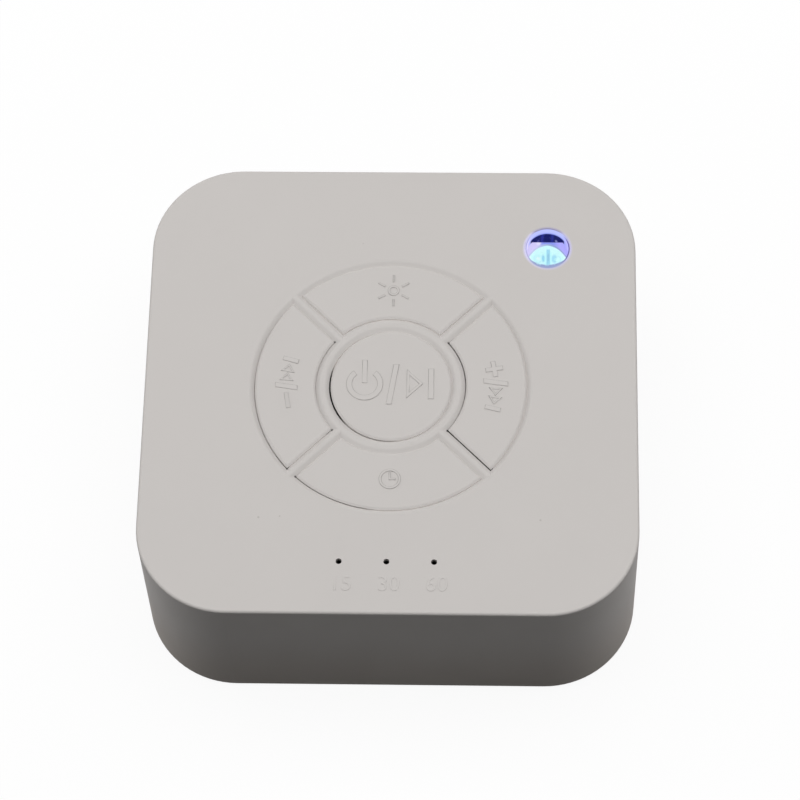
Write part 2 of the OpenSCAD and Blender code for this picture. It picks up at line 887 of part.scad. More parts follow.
module usb_tongue() {
    w = usb_w * 0.75;
    block_w = usb_w - usb_h;
    back_y = socket_mouth_y - usb_len + usb_skin;
    color(part_black) translate([usb_x, 0, usb_z]) {
        translate([-w / 2, back_y, -0.35]) cube([w, usb_len - 1.6, 0.7]);
        translate([-block_w / 2, back_y, -usb_h / 2 + usb_skin]) cube([block_w, 1.2, usb_h - 2 * usb_skin]);
    }
}

module headphone_jack() {
    collar_len = socket_mouth_y - jack_body_y + 0.5;
    color(part_black) translate([jack_x, 0, jack_z]) difference() {
        union() {
            translate([-jack_body_w / 2, jack_body_y - jack_body_len, -jack_body_h / 2])
                cube([jack_body_w, jack_body_len, jack_body_h]);
            translate([0, socket_mouth_y, 0]) rotate([90, 0, 0]) cylinder(r = jack_collar_r, h = collar_len);
        }
        translate([0, socket_mouth_y + cut, 0]) rotate([90, 0, 0])
            cylinder(r = jack_bore_r, h = jack_bore_len + cut);
    }
}

// ---------- Battery and leads ----------

module battery_cell() {
    e = 0.8;
    color([0.15, 0.4, 0.7]) translate([-battery_len / 2, battery_y, battery_z]) rotate([0, 90, 0])
        rotate_extrude() polygon(concat(
            [[0, 0]],
            quarter(battery_r - e, e, e, -90, 0),
            quarter(battery_r - e, battery_len - e, e, 0, 90),
            [[0, battery_len]]
        ));
}

// Foam strip that holds the cell to the base cover
module battery_pad() {
    color([0.3, 0.3, 0.32]) difference() {
        translate([-pad_w / 2, battery_y - pad_d / 2, base_top]) cube([pad_w, pad_d, battery_r]);
        translate([-pad_w / 2 - cut, battery_y, battery_z]) rotate([0, 90, 0])
            cylinder(r = battery_r + touch, h = pad_w + 2 * cut);
        translate([-pad_w / 2 - cut, battery_y - pad_d, battery_z - battery_r * 0.7])
            cube([pad_w + 2 * cut, 2 * pad_d, battery_r]);
    }
}

module lead_sockets() {
    size = lead_socket;
    color([0.92, 0.9, 0.84]) for (y = [battery_lead_y, speaker_lead_y])
        translate([lead_x - size[0] / 2, y - size[1] / 2, board_under - size[2]]) cube(size);
}

// Point at t on the curve of four control points
function bend(p, t) = let (s = 1 - t)
    s * s * s * p[0] + 3 * t * s * s * p[1] + 3 * t * t * s * p[2] + t * t * t * p[3];

// Round wire along the curve of four control points
module wire(p, r, rings = 14, sides = 8) {
    path = [for (i = [0:rings - 1]) bend(p, i / (rings - 1))];
    points = [
        for (i = [0:rings - 1])
            let (
                dir = path[min(i + 1, rings - 1)] - path[max(i - 1, 0)],
                across = cross(dir, [0.1, 1, 0.1]),
                u = across / norm(across),
                w = cross(u, dir) / norm(dir)
            )
            for (k = [0:sides - 1]) let (t = 360 * k / sides) path[i] + r * (cos(t) * u + sin(t) * w)
    ];
    skin = [
        for (i = [0:rings - 2], k = [0:sides - 1])
            let (a = i * sides, b = (k + 1) % sides)
            for (f = [[a + k, a + b, a + sides + b], [a + k, a + sides + b, a + sides + k]]) f
    ];
    caps = [
        [for (k = [sides - 1:-1:0]) k],
        [for (k = [0:sides - 1]) (rings - 1) * sides + k]
    ];
    polyhedron(points, concat(skin, caps));
}

// Two wires side by side, from where they start along +X to a socket above
module lead_pair(start, finish, colours) {
    for (i = [0, 1]) let (side = 2 * i - 1) color(colours[i]) wire([
        start - [0, 0, side * lead_gap],
        [finish[0] + side * lead_gap, start[1], start[2] - side * lead_gap],
        finish + [side * lead_gap, 0, -lead_drop],
        finish + [side * lead_gap, 0, 0]
    ], lead_r);
}

function socket_end(y) = [lead_x, y, board_under - lead_socket[2] - run_gap];

module battery_leads() {
    start = [battery_len / 2 + run_gap, battery_y, battery_z];
    lead_pair(start, socket_end(battery_lead_y), ["red", "black"]);
}

module speaker_leads() {
    start_z = speaker_front + frame_lip_t + lead_gap + lead_r + run_gap;
    lead_pair([speaker_r - 1, speaker_y, start_z], socket_end(speaker_lead_y), ["yellow", "black"]);
}

// ---------- Speaker ----------

// Pressed steel basket with four windows
module speaker_frame() {
    lip = frame_lip_t;
    top = speaker_front + basket_h;
    color([0.25, 0.25, 0.27]) at_speaker() difference() {
        rotate_extrude() polygon([
            [frame_seat_r - 0.8, speaker_front],
            [speaker_r, speaker_front],
            [speaker_r, speaker_front + lip],
            [basket_foot_r, speaker_front + lip],
            [basket_foot_r, speaker_front + basket_step],
            [basket_top_r, top],
            [coil_r + 2, top],
            [coil_r + 2, top - basket_t],
            [basket_top_r - basket_t, top - basket_t],
            [frame_seat_r - 0.8, speaker_front + basket_step]
        ]);
        for (turn = [45:90:315]) rotate(turn) translate([basket_top_r + 0.6, -5, speaker_front + lip + 0.6])
            cube([basket_foot_r, 10, basket_h - lip - 1.8]);
    }
}

module speaker_front_plate() {
    z = speaker_front + basket_h;
    color(steel) at_speaker() tube(magnet_r - 1, coil_r + 0.5, z, z + front_plate_t);
}

module speaker_magnet() {
    z = speaker_front + basket_h + front_plate_t;
    color(part_black) at_speaker() tube(magnet_r, coil_r + 2, z, z + magnet_h);
}

// Back plate with the pole that fills the coil
module speaker_yoke() {
    z = speaker_front + basket_h;
    back = z + front_plate_t + magnet_h;
    color(steel) at_speaker() {
        rod(pole_r, z, back);
        rod(magnet_r - 1, back, back + yoke_t);
    }
}

// Roll between the frame and the cone
module speaker_surround() {
    z = cone_edge_z;
    inner = cone_edge_r + 0.1;
    outer = frame_seat_r - 0.9;
    mid = (inner + outer) / 2;
    roll = (outer - inner) / 2;
    color(part_black) at_speaker() rotate_extrude() polygon(concat(
        [[frame_seat_r - 0.1, z], [frame_seat_r - 0.1, speaker_front]],
        [[outer, speaker_front]],
        quarter(mid, speaker_front, roll, 0, 180, 10),
        [[inner, z]],
        quarter(mid, z, roll - roll_t, 180, 0, 10)
    ));
}

// Springy disc that centres the coil
module speaker_spider() {
    z = speaker_front + basket_h - basket_t;
    color([0.75, 0.6, 0.35]) at_speaker() tube(spider_r, coil_r + 0.3, z - 0.4, z);
}

function cone_z(t) = cone_edge_z + (cone_neck_z - cone_edge_z) * pow(t, 1.25);

module speaker_cone() {
    n = 8;
    neck_r = coil_r + touch;
    color([0.12, 0.12, 0.13]) at_speaker() rotate_extrude() polygon(concat(
        [for (i = [0:n]) let (t = i / n) [cone_edge_r + (neck_r - cone_edge_r) * t, cone_z(t)]],
        [for (i = [n:-1:0]) let (t = i / n) [cone_edge_r + (neck_r - cone_edge_r) * t, cone_z(t) + cone_t]]
    ));
}

// Dome that closes the neck of the cone
module dust_cap() {
    r = coil_r + cap_rim;
    ball = (r * r + cap_rise * cap_rise) / (2 * cap_rise);
    half = asin(r / ball);
    centre_z = cone_neck_z - cap_rise - cone_t + ball;
    color([0.12, 0.12, 0.13]) at_speaker() rotate_extrude() polygon(concat(
        quarter(0, centre_z, ball, -90, -90 + half, 8),
        quarter(0, centre_z, ball - cap_t, -90 + half, -90, 8)
    ));
}

// Paper tube and winding that hang in the magnet's gap
module voice_coil() {
    color([0.72, 0.45, 0.2]) at_speaker() difference() {
        union() {
            rod(coil_r - 0.25, cone_neck_z, winding_top);
            rod(coil_r, winding_top - winding_h, winding_top);
        }
        rod(coil_r - coil_t, cone_neck_z - cut, winding_top + cut);
    }
}

module speaker_gasket() {
    color(part_black) at_speaker() tube(speaker_r, frame_seat_r, base_top, speaker_front);
}

module grille_cloth() {
    color(part_black) at_speaker() rod(cloth_r, base_top, base_top + cloth_t);
}

// Screws whose wide heads hold the edge of the speaker frame
module speaker_screws() {
    color(steel) at_speaker() at_clamp_screws() mirror([0, 0, 1])
        pan_screw(board_screw_r, clamp_head_r, board_head_t, -clamp_seat, clamp_seat - base_top - 0.6);
}

// ---------- Nodes ----------

housing();
base_cover();
rubber_feet();
housing_screws();
key(0);  // centre_key
key(1);  // light_key
key(2);  // forward_key
key(3);  // timer_key
key(4);  // back_key
plunger(0);  // centre_plunger
plunger(1);  // light_plunger
plunger(2);  // forward_plunger
plunger(3);  // timer_plunger
plunger(4);  // back_plunger
snap_dome(0);  // centre_snap_dome
snap_dome(1);  // light_snap_dome
snap_dome(2);  // forward_snap_dome
snap_dome(3);  // timer_snap_dome
snap_dome(4);  // back_snap_dome
switch_bodies();
switch_covers();
main_board();
board_screws();
timer_leds();
timer_light_block();
lamp_ring();
lamp_window();
lamp_diffuser();
lamp_holder();
lamp_shroud();
lamp_leds();
usb_shell();
usb_tongue();
headphone_jack();
sound_chip();
memory_chip();
amplifier_chip();
charge_chip();
power_inductor();
filter_capacitors();
lead_sockets();
battery_cell();
battery_pad();
battery_leads();
speaker_leads();
speaker_frame();
speaker_front_plate();
speaker_magnet();
speaker_yoke();
speaker_surround();
speaker_spider();
speaker_cone();
dust_cap();
voice_coil();
speaker_gasket();
grille_cloth();
speaker_screws();
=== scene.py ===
import math

import bmesh
import bpy
from mathutils import Matrix, Vector


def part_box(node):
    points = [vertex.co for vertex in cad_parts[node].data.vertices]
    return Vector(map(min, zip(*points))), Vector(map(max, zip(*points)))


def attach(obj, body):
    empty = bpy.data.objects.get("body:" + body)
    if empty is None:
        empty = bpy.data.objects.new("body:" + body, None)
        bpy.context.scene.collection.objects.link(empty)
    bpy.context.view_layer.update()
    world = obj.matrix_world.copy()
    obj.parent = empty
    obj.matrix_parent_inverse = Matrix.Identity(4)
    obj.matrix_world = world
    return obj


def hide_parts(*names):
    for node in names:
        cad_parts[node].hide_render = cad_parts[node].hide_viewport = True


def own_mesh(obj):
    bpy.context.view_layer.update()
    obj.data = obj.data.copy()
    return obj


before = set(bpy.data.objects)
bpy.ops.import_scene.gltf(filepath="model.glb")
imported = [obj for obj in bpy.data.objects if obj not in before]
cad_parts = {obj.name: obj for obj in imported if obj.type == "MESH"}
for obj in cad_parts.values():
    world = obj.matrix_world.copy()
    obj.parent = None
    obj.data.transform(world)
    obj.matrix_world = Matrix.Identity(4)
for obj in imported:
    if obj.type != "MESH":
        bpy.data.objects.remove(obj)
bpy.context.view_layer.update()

MM = 0.001


# ---------- Sizes and places, in metres ----------

def corners(node):
    """Lowest and highest corner of a node, in metres."""
    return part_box(node)


def middle(node):
    """Middle of a node's box."""
    low, high = corners(node)
    return (low + high) / 2


def foot_of(node):
    """Point under the middle of a node, at its lowest level."""
    centre = middle(node)
    return Vector((centre.x, centre.y, corners(node)[0].z))


def package_centres(node, count, proportion):
    """Tops of equal packages in a row along X, each that many times as long as it is wide."""
    low, high = corners(node)
    half = proportion * (high.y - low.y) / 2
    first = low.x + half
    pitch = (high.x - half - first) / (count - 1)
    return [(first + pitch * i, (low.y + high.y) / 2, high.z) for i in range(count)]


KEYS = ["centre", "light", "forward", "timer", "back"]
CASE_TOP = corners("housing")[1].z
KEY_TOP = corners("centre_key")[1].z
BOARD_TOP = corners("main_board")[1].z
BOARD_THICKNESS = 1.6 * MM
SPEAKER = middle("speaker_cone")
BATTERY = middle("battery_cell")
LAMP = middle("lamp_ring")
LAMP_SHELF_TOP = corners("lamp_holder")[1].z
COIL_WINDING_FOOT = SPEAKER.z + 3.4 * MM
LAMP_HOLE_RADIUS = 4.9 * MM
TIMER_LIGHTS = package_centres("timer_leds", 3, 2)
LAMP_LIGHTS = package_centres("lamp_leds", 2, 1)

# Behind this line, measured from the lamp's axis, the lamp is open down to its depths
SHELF_EDGE = 2.7 * MM

# From the middle line of a pair of leads to the outer side of its outer lead
LEAD_REACH = 1.6 * MM

# Levels from which the edges of the openings and of the keys reach down into the gaps
OPENING_EDGE = CASE_TOP - 0.62 * MM
KEY_EDGE = KEY_TOP - 0.33 * MM
GAP_DEPTH = 2.4 * MM

# Distances from the ring's axis at which the centre key's gap ends, the inner gaps of the arc keys end,
# their outer gaps start, and the ring of keys ends
CENTRE_REACH = 14.2 * MM
INNER_REACH = 17.5 * MM
OUTER_START = 27 * MM
RING_REACH = 31 * MM


def srgb(red, green, blue):
    """A colour given as 0 to 255 on a screen, as the linear values that shaders take."""
    linear = []
    for value in (red, green, blue):
        share = value / 255
        linear.append(share / 12.92 if share <= 0.04045 else ((share + 0.055) / 1.055) ** 2.4)
    return (*linear, 1.0)


def shade(colour, factor):
    """A colour made darker or lighter."""
    return (*[min(1.0, part * factor) for part in colour[:3]], 1.0)


# ---------- Shader maths ----------

class Signal:
    """A socket of a tree of nodes. Arithmetic adds Math nodes to it, and add() adds any other node."""

    def __init__(self, tree, socket=None):
        self.tree = tree
        self.socket = socket

    def add(self, kind, inputs, settings=None, out=0):
        """A node of that kind, first with its settings, then with its sockets filled or linked."""
        node = self.tree.nodes.new("ShaderNode" + kind)
        for name, value in (settings or {}).items():
            setattr(node, name, value)
        for name, value in inputs.items():
            if isinstance(value, Signal):
                self.tree.links.new(value.socket, node.inputs[name])
            else:
                node.inputs[name].default_value = value
        return Signal(self.tree, node.outputs[out])

    def maths(self, operation, other=0.0):
        """A Math node on this signal and another value."""
        return self.add("Math", {0: self, 1: other}, {"operation": operation})

    def __add__(self, other):
        return self.maths("ADD", other)

    def __sub__(self, other):
        return self.maths("SUBTRACT", other)

    def __rsub__(self, other):
        return self.add("Math", {0: other, 1: self}, {"operation": "SUBTRACT"})

    def __mul__(self, other):
        return self.maths("MULTIPLY", other)

    def __truediv__(self, other):
        return self.maths("DIVIDE", other)

    def __rtruediv__(self, other):
        return self.add("Math", {0: other, 1: self}, {"operation": "DIVIDE"})

    def __abs__(self):
        return self.maths("ABSOLUTE")

    def __gt__(self, other):
        return self.maths("GREATER_THAN", other)

    def __lt__(self, other):
        return self.maths("LESS_THAN", other)

    __radd__ = __add__
    __rmul__ = __mul__


def new_finish(name):
    """A material, and the place of each of its points in the row frame."""
    material = bpy.data.materials.new(name)
    material.use_nodes = True
    return material, Signal(material.node_tree).add("TexCoord", {}, out="Object")


def set_shader(material, values):
    """Gives the main shader of a material its values, or links what varies over the surface."""
    shader = material.node_tree.nodes["Principled BSDF"]
    for name, value in values.items():
        if isinstance(value, Signal):
            material.node_tree.links.new(value.socket, shader.inputs[name])
        else:
            shader.inputs[name].default_value = value
    return material


def axes(place):
    """The x, y and z of a place, each a Signal."""
    return [place.add("SeparateXYZ", {0: place}, out=axis) for axis in range(3)]


def along(x, y, degrees):
    """How far a place lies in that direction, seen from above."""
    return x * math.cos(math.radians(degrees)) + y * math.sin(math.radians(degrees))


def moved(place, to):
    """A place measured from another origin."""
    return place.add("VectorMath", {0: place, 1: tuple(to)}, {"operation": "SUBTRACT"})


def stretched(place, factors):
    """A place with each axis scaled, for patterns that run one way."""
    return place.add("VectorMath", {0: place, 1: factors}, {"operation": "MULTIPLY"})


def distance(place, to=(0, 0, 0)):
    """Distance from each point to a fixed point."""
    return place.add("VectorMath", {0: place, 1: tuple(to)}, {"operation": "DISTANCE"}, "Value")


def axis_distance(place, centre=(0, 0)):
    """Distance from each point to the upright axis through a fixed point."""
    return distance(stretched(place, (1, 1, 0)), (centre[0], centre[1], 0))


def soft_step(value, low, high):
    """0 below low, 1 above high, and a soft rise between them."""
    limits = {"Value": value, "From Min": low, "From Max": high}
    return value.add("MapRange", limits, {"interpolation_type": "SMOOTHSTEP"})


def soft_fall(value, low, high):
    """1 below low, 0 above high, and a soft fall between them."""
    return 1 - soft_step(value, low, high)


def between(value, low, high, edge):
    """1 from low to high, with soft edges."""
    return soft_step(value, low - edge, low + edge) * soft_fall(value, high - edge, high + edge)


def wave(value, period):
    """From -1 to 1 and back over each period."""
    return (value * (2 * math.pi / period)).maths("SINE")


def cloud(place, size, detail=2.0, roughness=0.5):
    """Soft noise from 0 to 1 with patches of about that size."""
    values = {"Vector": place, "Scale": 1 / size, "Detail": detail, "Roughness": roughness}
    return place.add("TexNoise", values)


def cells(place, size, feature="F1"):
    """Distance to the nearest point of a random scatter, or to the edge between two, in cells."""
    return place.add("TexVoronoi", {"Vector": place, "Scale": 1 / size}, {"feature": feature})


def mixed(factor, a, b):
    """Colour a where factor is 0 and b where it is 1; a Mix node takes them in its sockets 6 and 7."""
    return factor.add("Mix", {0: factor, 6: a, 7: b}, {"data_type": "RGBA"}, 2)


def surface_normal(place):
    """The direction in which each point of the surface faces."""
    return place.add("NewGeometry", {}, out="Normal")


def eased_normals(place, factors):
    """The surface's own normals, turned more upright or more level."""
    scaled = stretched(surface_normal(place), factors)
    return scaled.add("VectorMath", {0: scaled}, {"operation": "NORMALIZE"})


def relief(height, depth, strength, facing=None):
    """Normals of a surface whose height signal goes from 0 to 1 over that depth."""
    values = {"Height": height, "Distance": depth, "Strength": strength}
    if facing:
        values["Normal"] = facing
    return height.add("Bump", values)


# ---------- Finish of the case and the keys ----------

SHELL_GREY = srgb(197, 193, 190)
# Colour of the light painted into the gaps between the keys
PAINTED_GAP_LIGHT = srgb(146, 143, 140)
BLACK = (0, 0, 0, 1)
WHITE = (1, 1, 1, 1)
MATTE_ROUGHNESS = 0.56
ROUGHNESS_SPREAD = 0.08
MATTE_GLOSS = 0.12
GRAIN_DEPTH = 0.012 * MM

# How the normals of the soft edges are stretched, as colour channels for x, y and z
EDGE_EASE = (1.25, 0.45, 1, 1)

# Corners of the arc keys darkened with painted shade: at each inner end, and two at the front left
SHADED_CORNERS = [(12.09 * x * MM, 10.33 * y * MM) for x in (-1, 1) for y in (-1, 1)]
SHADED_CORNERS += [(-19.39 * MM, -21.16 * MM), (-21.16 * MM, -19.39 * MM)]

# Small marks on the top: x, y and radius, in millimetres
MARKS = [
    (-26.7, -30.7, 0.22),
    (-22.3, -30.4, 0.16),
    (31.6, -30.8, 0.2),
    (7.9, 7.2, 0.16),
    (-6.6, 34.0, 0.12),
]


def spark_grain(place):
    """Fine grain that a spark-eroded mould leaves."""
    return cloud(place, 0.22 * MM, 3.0, 0.6)


def painted_gap_light_and_shade(place):
    """Painted light and painted shade in the gaps between the keys: how pale and how black they are made,
    each from 0 to 1.
    """
    x, y = axes(place)[:2]
    radius = axis_distance(place)
    in_centre = radius < CENTRE_REACH
    in_inner = between(radius, CENTRE_REACH, INNER_REACH, 0.2 * MM)
    in_outer = radius > OUTER_START
    centre_left = soft_step(along(x, y, 191.5), 10.3 * MM, 12.2 * MM) * in_centre
    centre_front = soft_step(along(x, y, 250), 10.6 * MM, 12.2 * MM) * in_centre
    inner_right = soft_step(x, 11 * MM, 12.5 * MM) * in_inner
    inner_left = soft_step(-1 * x, 11 * MM, 12.5 * MM) * in_inner
    outer_left = soft_step(-1 * x, 21 * MM, 24 * MM) * in_outer
    outer_front = soft_step(along(x, y, 240), 25.5 * MM, 27.2 * MM) * in_outer
    right_bar = between(x + y, 0.6 * MM, 3.0 * MM, 0.3 * MM) * soft_step(x - y, 19 * MM, 21.5 * MM)
    # Painted shade: black in some gaps, darker lines in others
    black = centre_left + inner_right * 0.08 + right_bar * 0.6
    lines = centre_front * 0.55 + inner_left * 0.6 + outer_left * 0.65 + outer_front * 0.7
    dark = centre_left + inner_right + right_bar + lines
    return soft_fall(dark, 0.0, 1.0) * 0.6, black


def with_marks(place, colour):
    """A colour with small marks and a scatter of faint dust."""
    marks = sum(
        soft_fall(distance(place, (x * MM, y * MM, CASE_TOP)), radius * 0.5 * MM, radius * 1.5 * MM)
        for x, y, radius in MARKS
    )
    dust = cells(place, 3.2 * MM) < 0.035
    return mixed(marks * 0.45 + dust * 0.1, colour, srgb(150, 144, 138))


def with_lamp_glow(place, colour):
    """A colour tinted round the lamp hole by the light of the lamp."""
    z = axes(place)[2]
    right, _, crown, front = lamp_sides(place)
    tint = mixed(crown, mixed(right, srgb(216, 212, 242), srgb(203, 199, 230)), srgb(172, 167, 192))
    glow = soft_fall(lamp_radius(place), LAMP_HOLE_RADIUS - 0.04 * MM, LAMP_HOLE_RADIUS + 0.6 * MM)
    return mixed(glow * (1 - front * 0.4) * (z > CASE_TOP - 0.3 * MM), colour, tint)


def with_shaded_pinholes(place, colour):
    """A colour with painted shade that goes black down the walls of the pinholes over the timer lights.
    """
    z = axes(place)[2]
    hole = sum(axis_distance(place, centre) < 0.75 * MM for centre in TIMER_LIGHTS)
    sunk = soft_fall(z, CASE_TOP - 1.5 * MM, CASE_TOP - 0.25 * MM) * (z > CASE_TOP - 3 * MM)
    return mixed(hole * sunk, colour, srgb(8, 8, 8))


def moulded_plastic(name, colour, edge_level):
    """Matte moulded plastic whose colour comes from a function, with painted light and painted shade in
    the key gaps and painted shade at corners of the keys.
    """
    material, place = new_finish(name)
    z = axes(place)[2]
    # Painted shade in the corners of the keys
    corner_shade = sum(soft_fall(axis_distance(place, corner), 0.1 * MM, 0.35 * MM) for corner in SHADED_CORNERS)
    in_ring = axis_distance(place) < RING_REACH
    gap = between(z, edge_level - GAP_DEPTH, edge_level, 0.03 * MM) * in_ring
    edge = (z < edge_level + 0.2 * MM) * in_ring
    # Painted light and painted shade for the key gaps
    pale, black = painted_gap_light_and_shade(place)
    facing = eased_normals(place, mixed(in_ring, WHITE, EDGE_EASE))
    return set_shader(material, {
        # Painted shade: the gaps and the key corners go dark grey
        "Base Color": mixed(gap * black + edge * corner_shade * 0.8, colour(place), srgb(30, 29, 28)),
        "Roughness": MATTE_ROUGHNESS + cloud(place, 6 * MM) * ROUGHNESS_SPREAD,
        "Specular IOR Level": MATTE_GLOSS,
        # Painted light in the key gaps
        "Emission Color": mixed(gap * pale, BLACK, PAINTED_GAP_LIGHT),
        "Emission Strength": 1.0,
        "Normal": relief(spark_grain(place), GRAIN_DEPTH, 0.5, facing),
    })


def key_colour(place):
    """The grey of the keys, with soft patches."""
    return mixed(cloud(place, 18 * MM, 3.0), shade(SHELL_GREY, 0.985), shade(SHELL_GREY, 1.015))


def shell_colour(place):
    """The grey of the case, with painted shade towards the foot of its walls, lit round the lamp, and
    with painted shade in its pinholes.
    """
    # Painted shade, darker towards the foot of the walls
    foot = soft_fall(axes(place)[2], 2 * MM, CASE_TOP - 10 * MM)
    foot_shaded = mixed(foot, with_marks(place, key_colour(place)), srgb(185, 178, 172))
    return with_shaded_pinholes(place, with_lamp_glow(place, foot_shaded))


def sign_finish(name, side_tone, top_tone=1.0):
    """Moulded plastic of a raised sign, with painted shade along its sloping sides, darkest on those that
    face the rear.
    """
    material, place = new_finish(name)
    rearward, upward = axes(surface_normal(place))[1:]
    patches = cloud(place, 1.5 * MM, 2.0)
    top = mixed(patches, shade(SHELL_GREY, top_tone * 0.985), shade(SHELL_GREY, top_tone * 1.015))
    # Painted shade on the sloping sides: lighter where they face the front, darker where they face the
    # rear
    in_shade = soft_step(rearward, -0.7, 0.7)
    side = mixed(in_shade, shade(SHELL_GREY, side_tone ** 0.3), shade(SHELL_GREY, side_tone ** 2.2))
    return set_shader(material, {
        "Base Color": mixed(upward < 0.95, top, side),
        "Roughness": MATTE_ROUGHNESS + patches * ROUGHNESS_SPREAD,
        "Specular IOR Level": MATTE_GLOSS,
        "Normal": relief(spark_grain(place), GRAIN_DEPTH, 0.5, eased_normals(place, (0.3, 0.3, 1))),
    })


# ---------- Finishes of what is inside ----------

CHARCOAL = srgb(34, 34, 36)


def soft_rubber(name, colour):
    """Dull rubber or foam with a fine open grain and a little dust."""
    material, place = new_finish(name)
    pores = cells(place, 0.5 * MM)
    dust = soft_step(cloud(place, 3 * MM, 4.0), 0.55, 0.8)
    return set_shader(material, {
        "Base Color": mixed(dust * 0.25, colour, srgb(110, 108, 105)),
        "Roughness": 0.85,
        "Normal": relief(pores, 0.06 * MM, 0.6),
    })


def plated_steel(name, colour, drawn=(1, 1, 1)):
    """Zinc or nickel plated steel with fine drawing lines and cloudy plating."""
    material, place = new_finish(name)
    lines = cloud(stretched(place, drawn), 0.15 * MM, 3.0)
    bloom = cloud(place, 2.5 * MM, 3.0)
    return set_shader(material, {
        "Base Color": mixed(bloom, shade(colour, 0.82), colour),
        "Metallic": 1.0,
        "Roughness": 0.24 + bloom * 0.14 + lines * 0.08,
        "Normal": relief(lines, 0.01 * MM, 0.4),
    })


def satin_plastic(name, colour):
    """Smooth moulded plastic of small parts, with faint flow lines."""
    material, place = new_finish(name)
    flow = cloud(stretched(place, (1, 0.35, 1)), 1.2 * MM, 3.0)
    return set_shader(material, {
        "Base Color": mixed(flow, shade(colour, 0.9), shade(colour, 1.08)),
        "Roughness": 0.38 + flow * 0.12,
        "Normal": relief(flow, 0.01 * MM, 0.4),
    })


def board_laminate(name):
    """Green solder mask over copper tracks, with tinned rings round small holes."""
    material, place = new_finish(name)
    z = axes(place)[2]
    track = between(cells(stretched(place, (1, 1, 0)), 4.5 * MM, "DISTANCE_TO_EDGE"), 0.03, 0.09, 0.01)
    vias = cells(stretched(place, (1, 1, 0.001)), 5.5 * MM)
    ring = soft_fall(vias, 0.085, 0.1)
    bore = soft_fall(vias, 0.035, 0.045)
    mask = mixed(track, srgb(14, 84, 44), srgb(28, 118, 62))
    tinned = mixed(ring, mask, srgb(205, 205, 200))
    face = mixed(bore, tinned, srgb(20, 20, 18))
    cut = between(z, BOARD_TOP - BOARD_THICKNESS + 0.1 * MM, BOARD_TOP - 0.1 * MM, 0.05 * MM)
    weave = cloud(stretched(place, (1, 1, 6)), 0.5 * MM)
    edge = mixed(weave, srgb(140, 138, 84), srgb(170, 166, 108))
    return set_shader(material, {
        "Base Color": mixed(cut, face, edge),
        "Metallic": ring * (1 - bore) * (1 - cut),
        "Roughness": 0.3 + cut * 0.4 + weave * 0.05,
        "Normal": relief(track + ring * 0.5, 0.04 * MM, 0.6),
    })


def chip_package(name, node):
    """Black moulded package with a matt top and a dimple, and tinned legs."""
    material, place = new_finish(name)
    low, high = corners(node)
    leg_length = 1.0 * MM
    leg = abs(axes(moved(place, middle(node)))[1]) > (high.y - low.y) / 2 - leg_length
    grain = cloud(place, 0.12 * MM, 2.0)
    mark = (low.x + 0.9 * MM, low.y + leg_length + 0.9 * MM, high.z)
    dimple = soft_fall(distance(place, mark), 0.25 * MM, 0.35 * MM)
    epoxy = mixed(grain, CHARCOAL, srgb(52, 52, 54))
    face = mixed(dimple, epoxy, srgb(24, 24, 25))
    return set_shader(material, {
        "Base Color": mixed(leg, face, srgb(196, 196, 194)),
        "Metallic": leg,
        "Roughness": 0.62 - leg * 0.3 - dimple * 0.3,
        "Normal": relief(grain - dimple, 0.02 * MM, 0.5),
    })


def coil_ferrite(name):
    """Dark ferrite block with a rubbed top."""
    material, place = new_finish(name)
    grain = cloud(place, 0.25 * MM, 4.0, 0.7)
    rubbed = soft_step(cloud(place, 1.4 * MM, 3.0), 0.5, 0.75)
    return set_shader(material, {
        "Base Color": mixed(rubbed * 0.4, srgb(48, 47, 49), srgb(92, 90, 92)),
        "Roughness": 0.5 + grain * 0.25,
        "Normal": relief(grain, 0.03 * MM, 0.6),
    })


def can_aluminium(name, node):
    """Bright drawn cans, each with a black mark on one side of its top and a dark rubber base."""
    material, place = new_finish(name)
    low, high = corners(node)
    width = high.y - low.y
    pitch = high.x - low.x - width
    x, _, z = axes(moved(place, (low.x + width / 2, (low.y + high.y) / 2, high.z)))
    beside = (x + pitch / 2).maths("MODULO", pitch) - pitch / 2
    mark = (beside < -0.9 * MM) * (z > -0.35 * MM)
    base = z < low.z - high.z + 0.45 * MM
    rings = cloud(stretched(place, (0.2, 0.2, 3)), 0.2 * MM)
    ink = mixed(mark, srgb(204, 205, 208), srgb(26, 26, 28))
    return set_shader(material, {
        "Base Color": mixed(base, ink, srgb(30, 30, 30)),
        "Metallic": (1 - mark) * (1 - base),
        "Roughness": 0.26 + rings * 0.12 + mark * 0.3,
        "Normal": relief(rings, 0.008 * MM, 0.4),
    })


def light_package(name, centres, lit):
    """White ceramic lamp packages, each with a round of yellow resin, lit or unlit."""
    material, place = new_finish(name)
    near = distance(place, centres[0])
    for centre in centres[1:]:
        near = near.maths("MINIMUM", distance(place, centre))
    resin = soft_fall(near, 0.5 * MM, 0.6 * MM)
    grain = cloud(place, 0.1 * MM)
    return set_shader(material, {
        "Base Color": mixed(resin, srgb(226, 224, 214), srgb(214, 190, 92)),
        "Roughness": 0.45 - resin * 0.25 + grain * 0.1,
        "Emission Color": mixed(resin, srgb(20, 40, 70), srgb(215, 250, 255)),
        "Emission Strength": lit,
    })


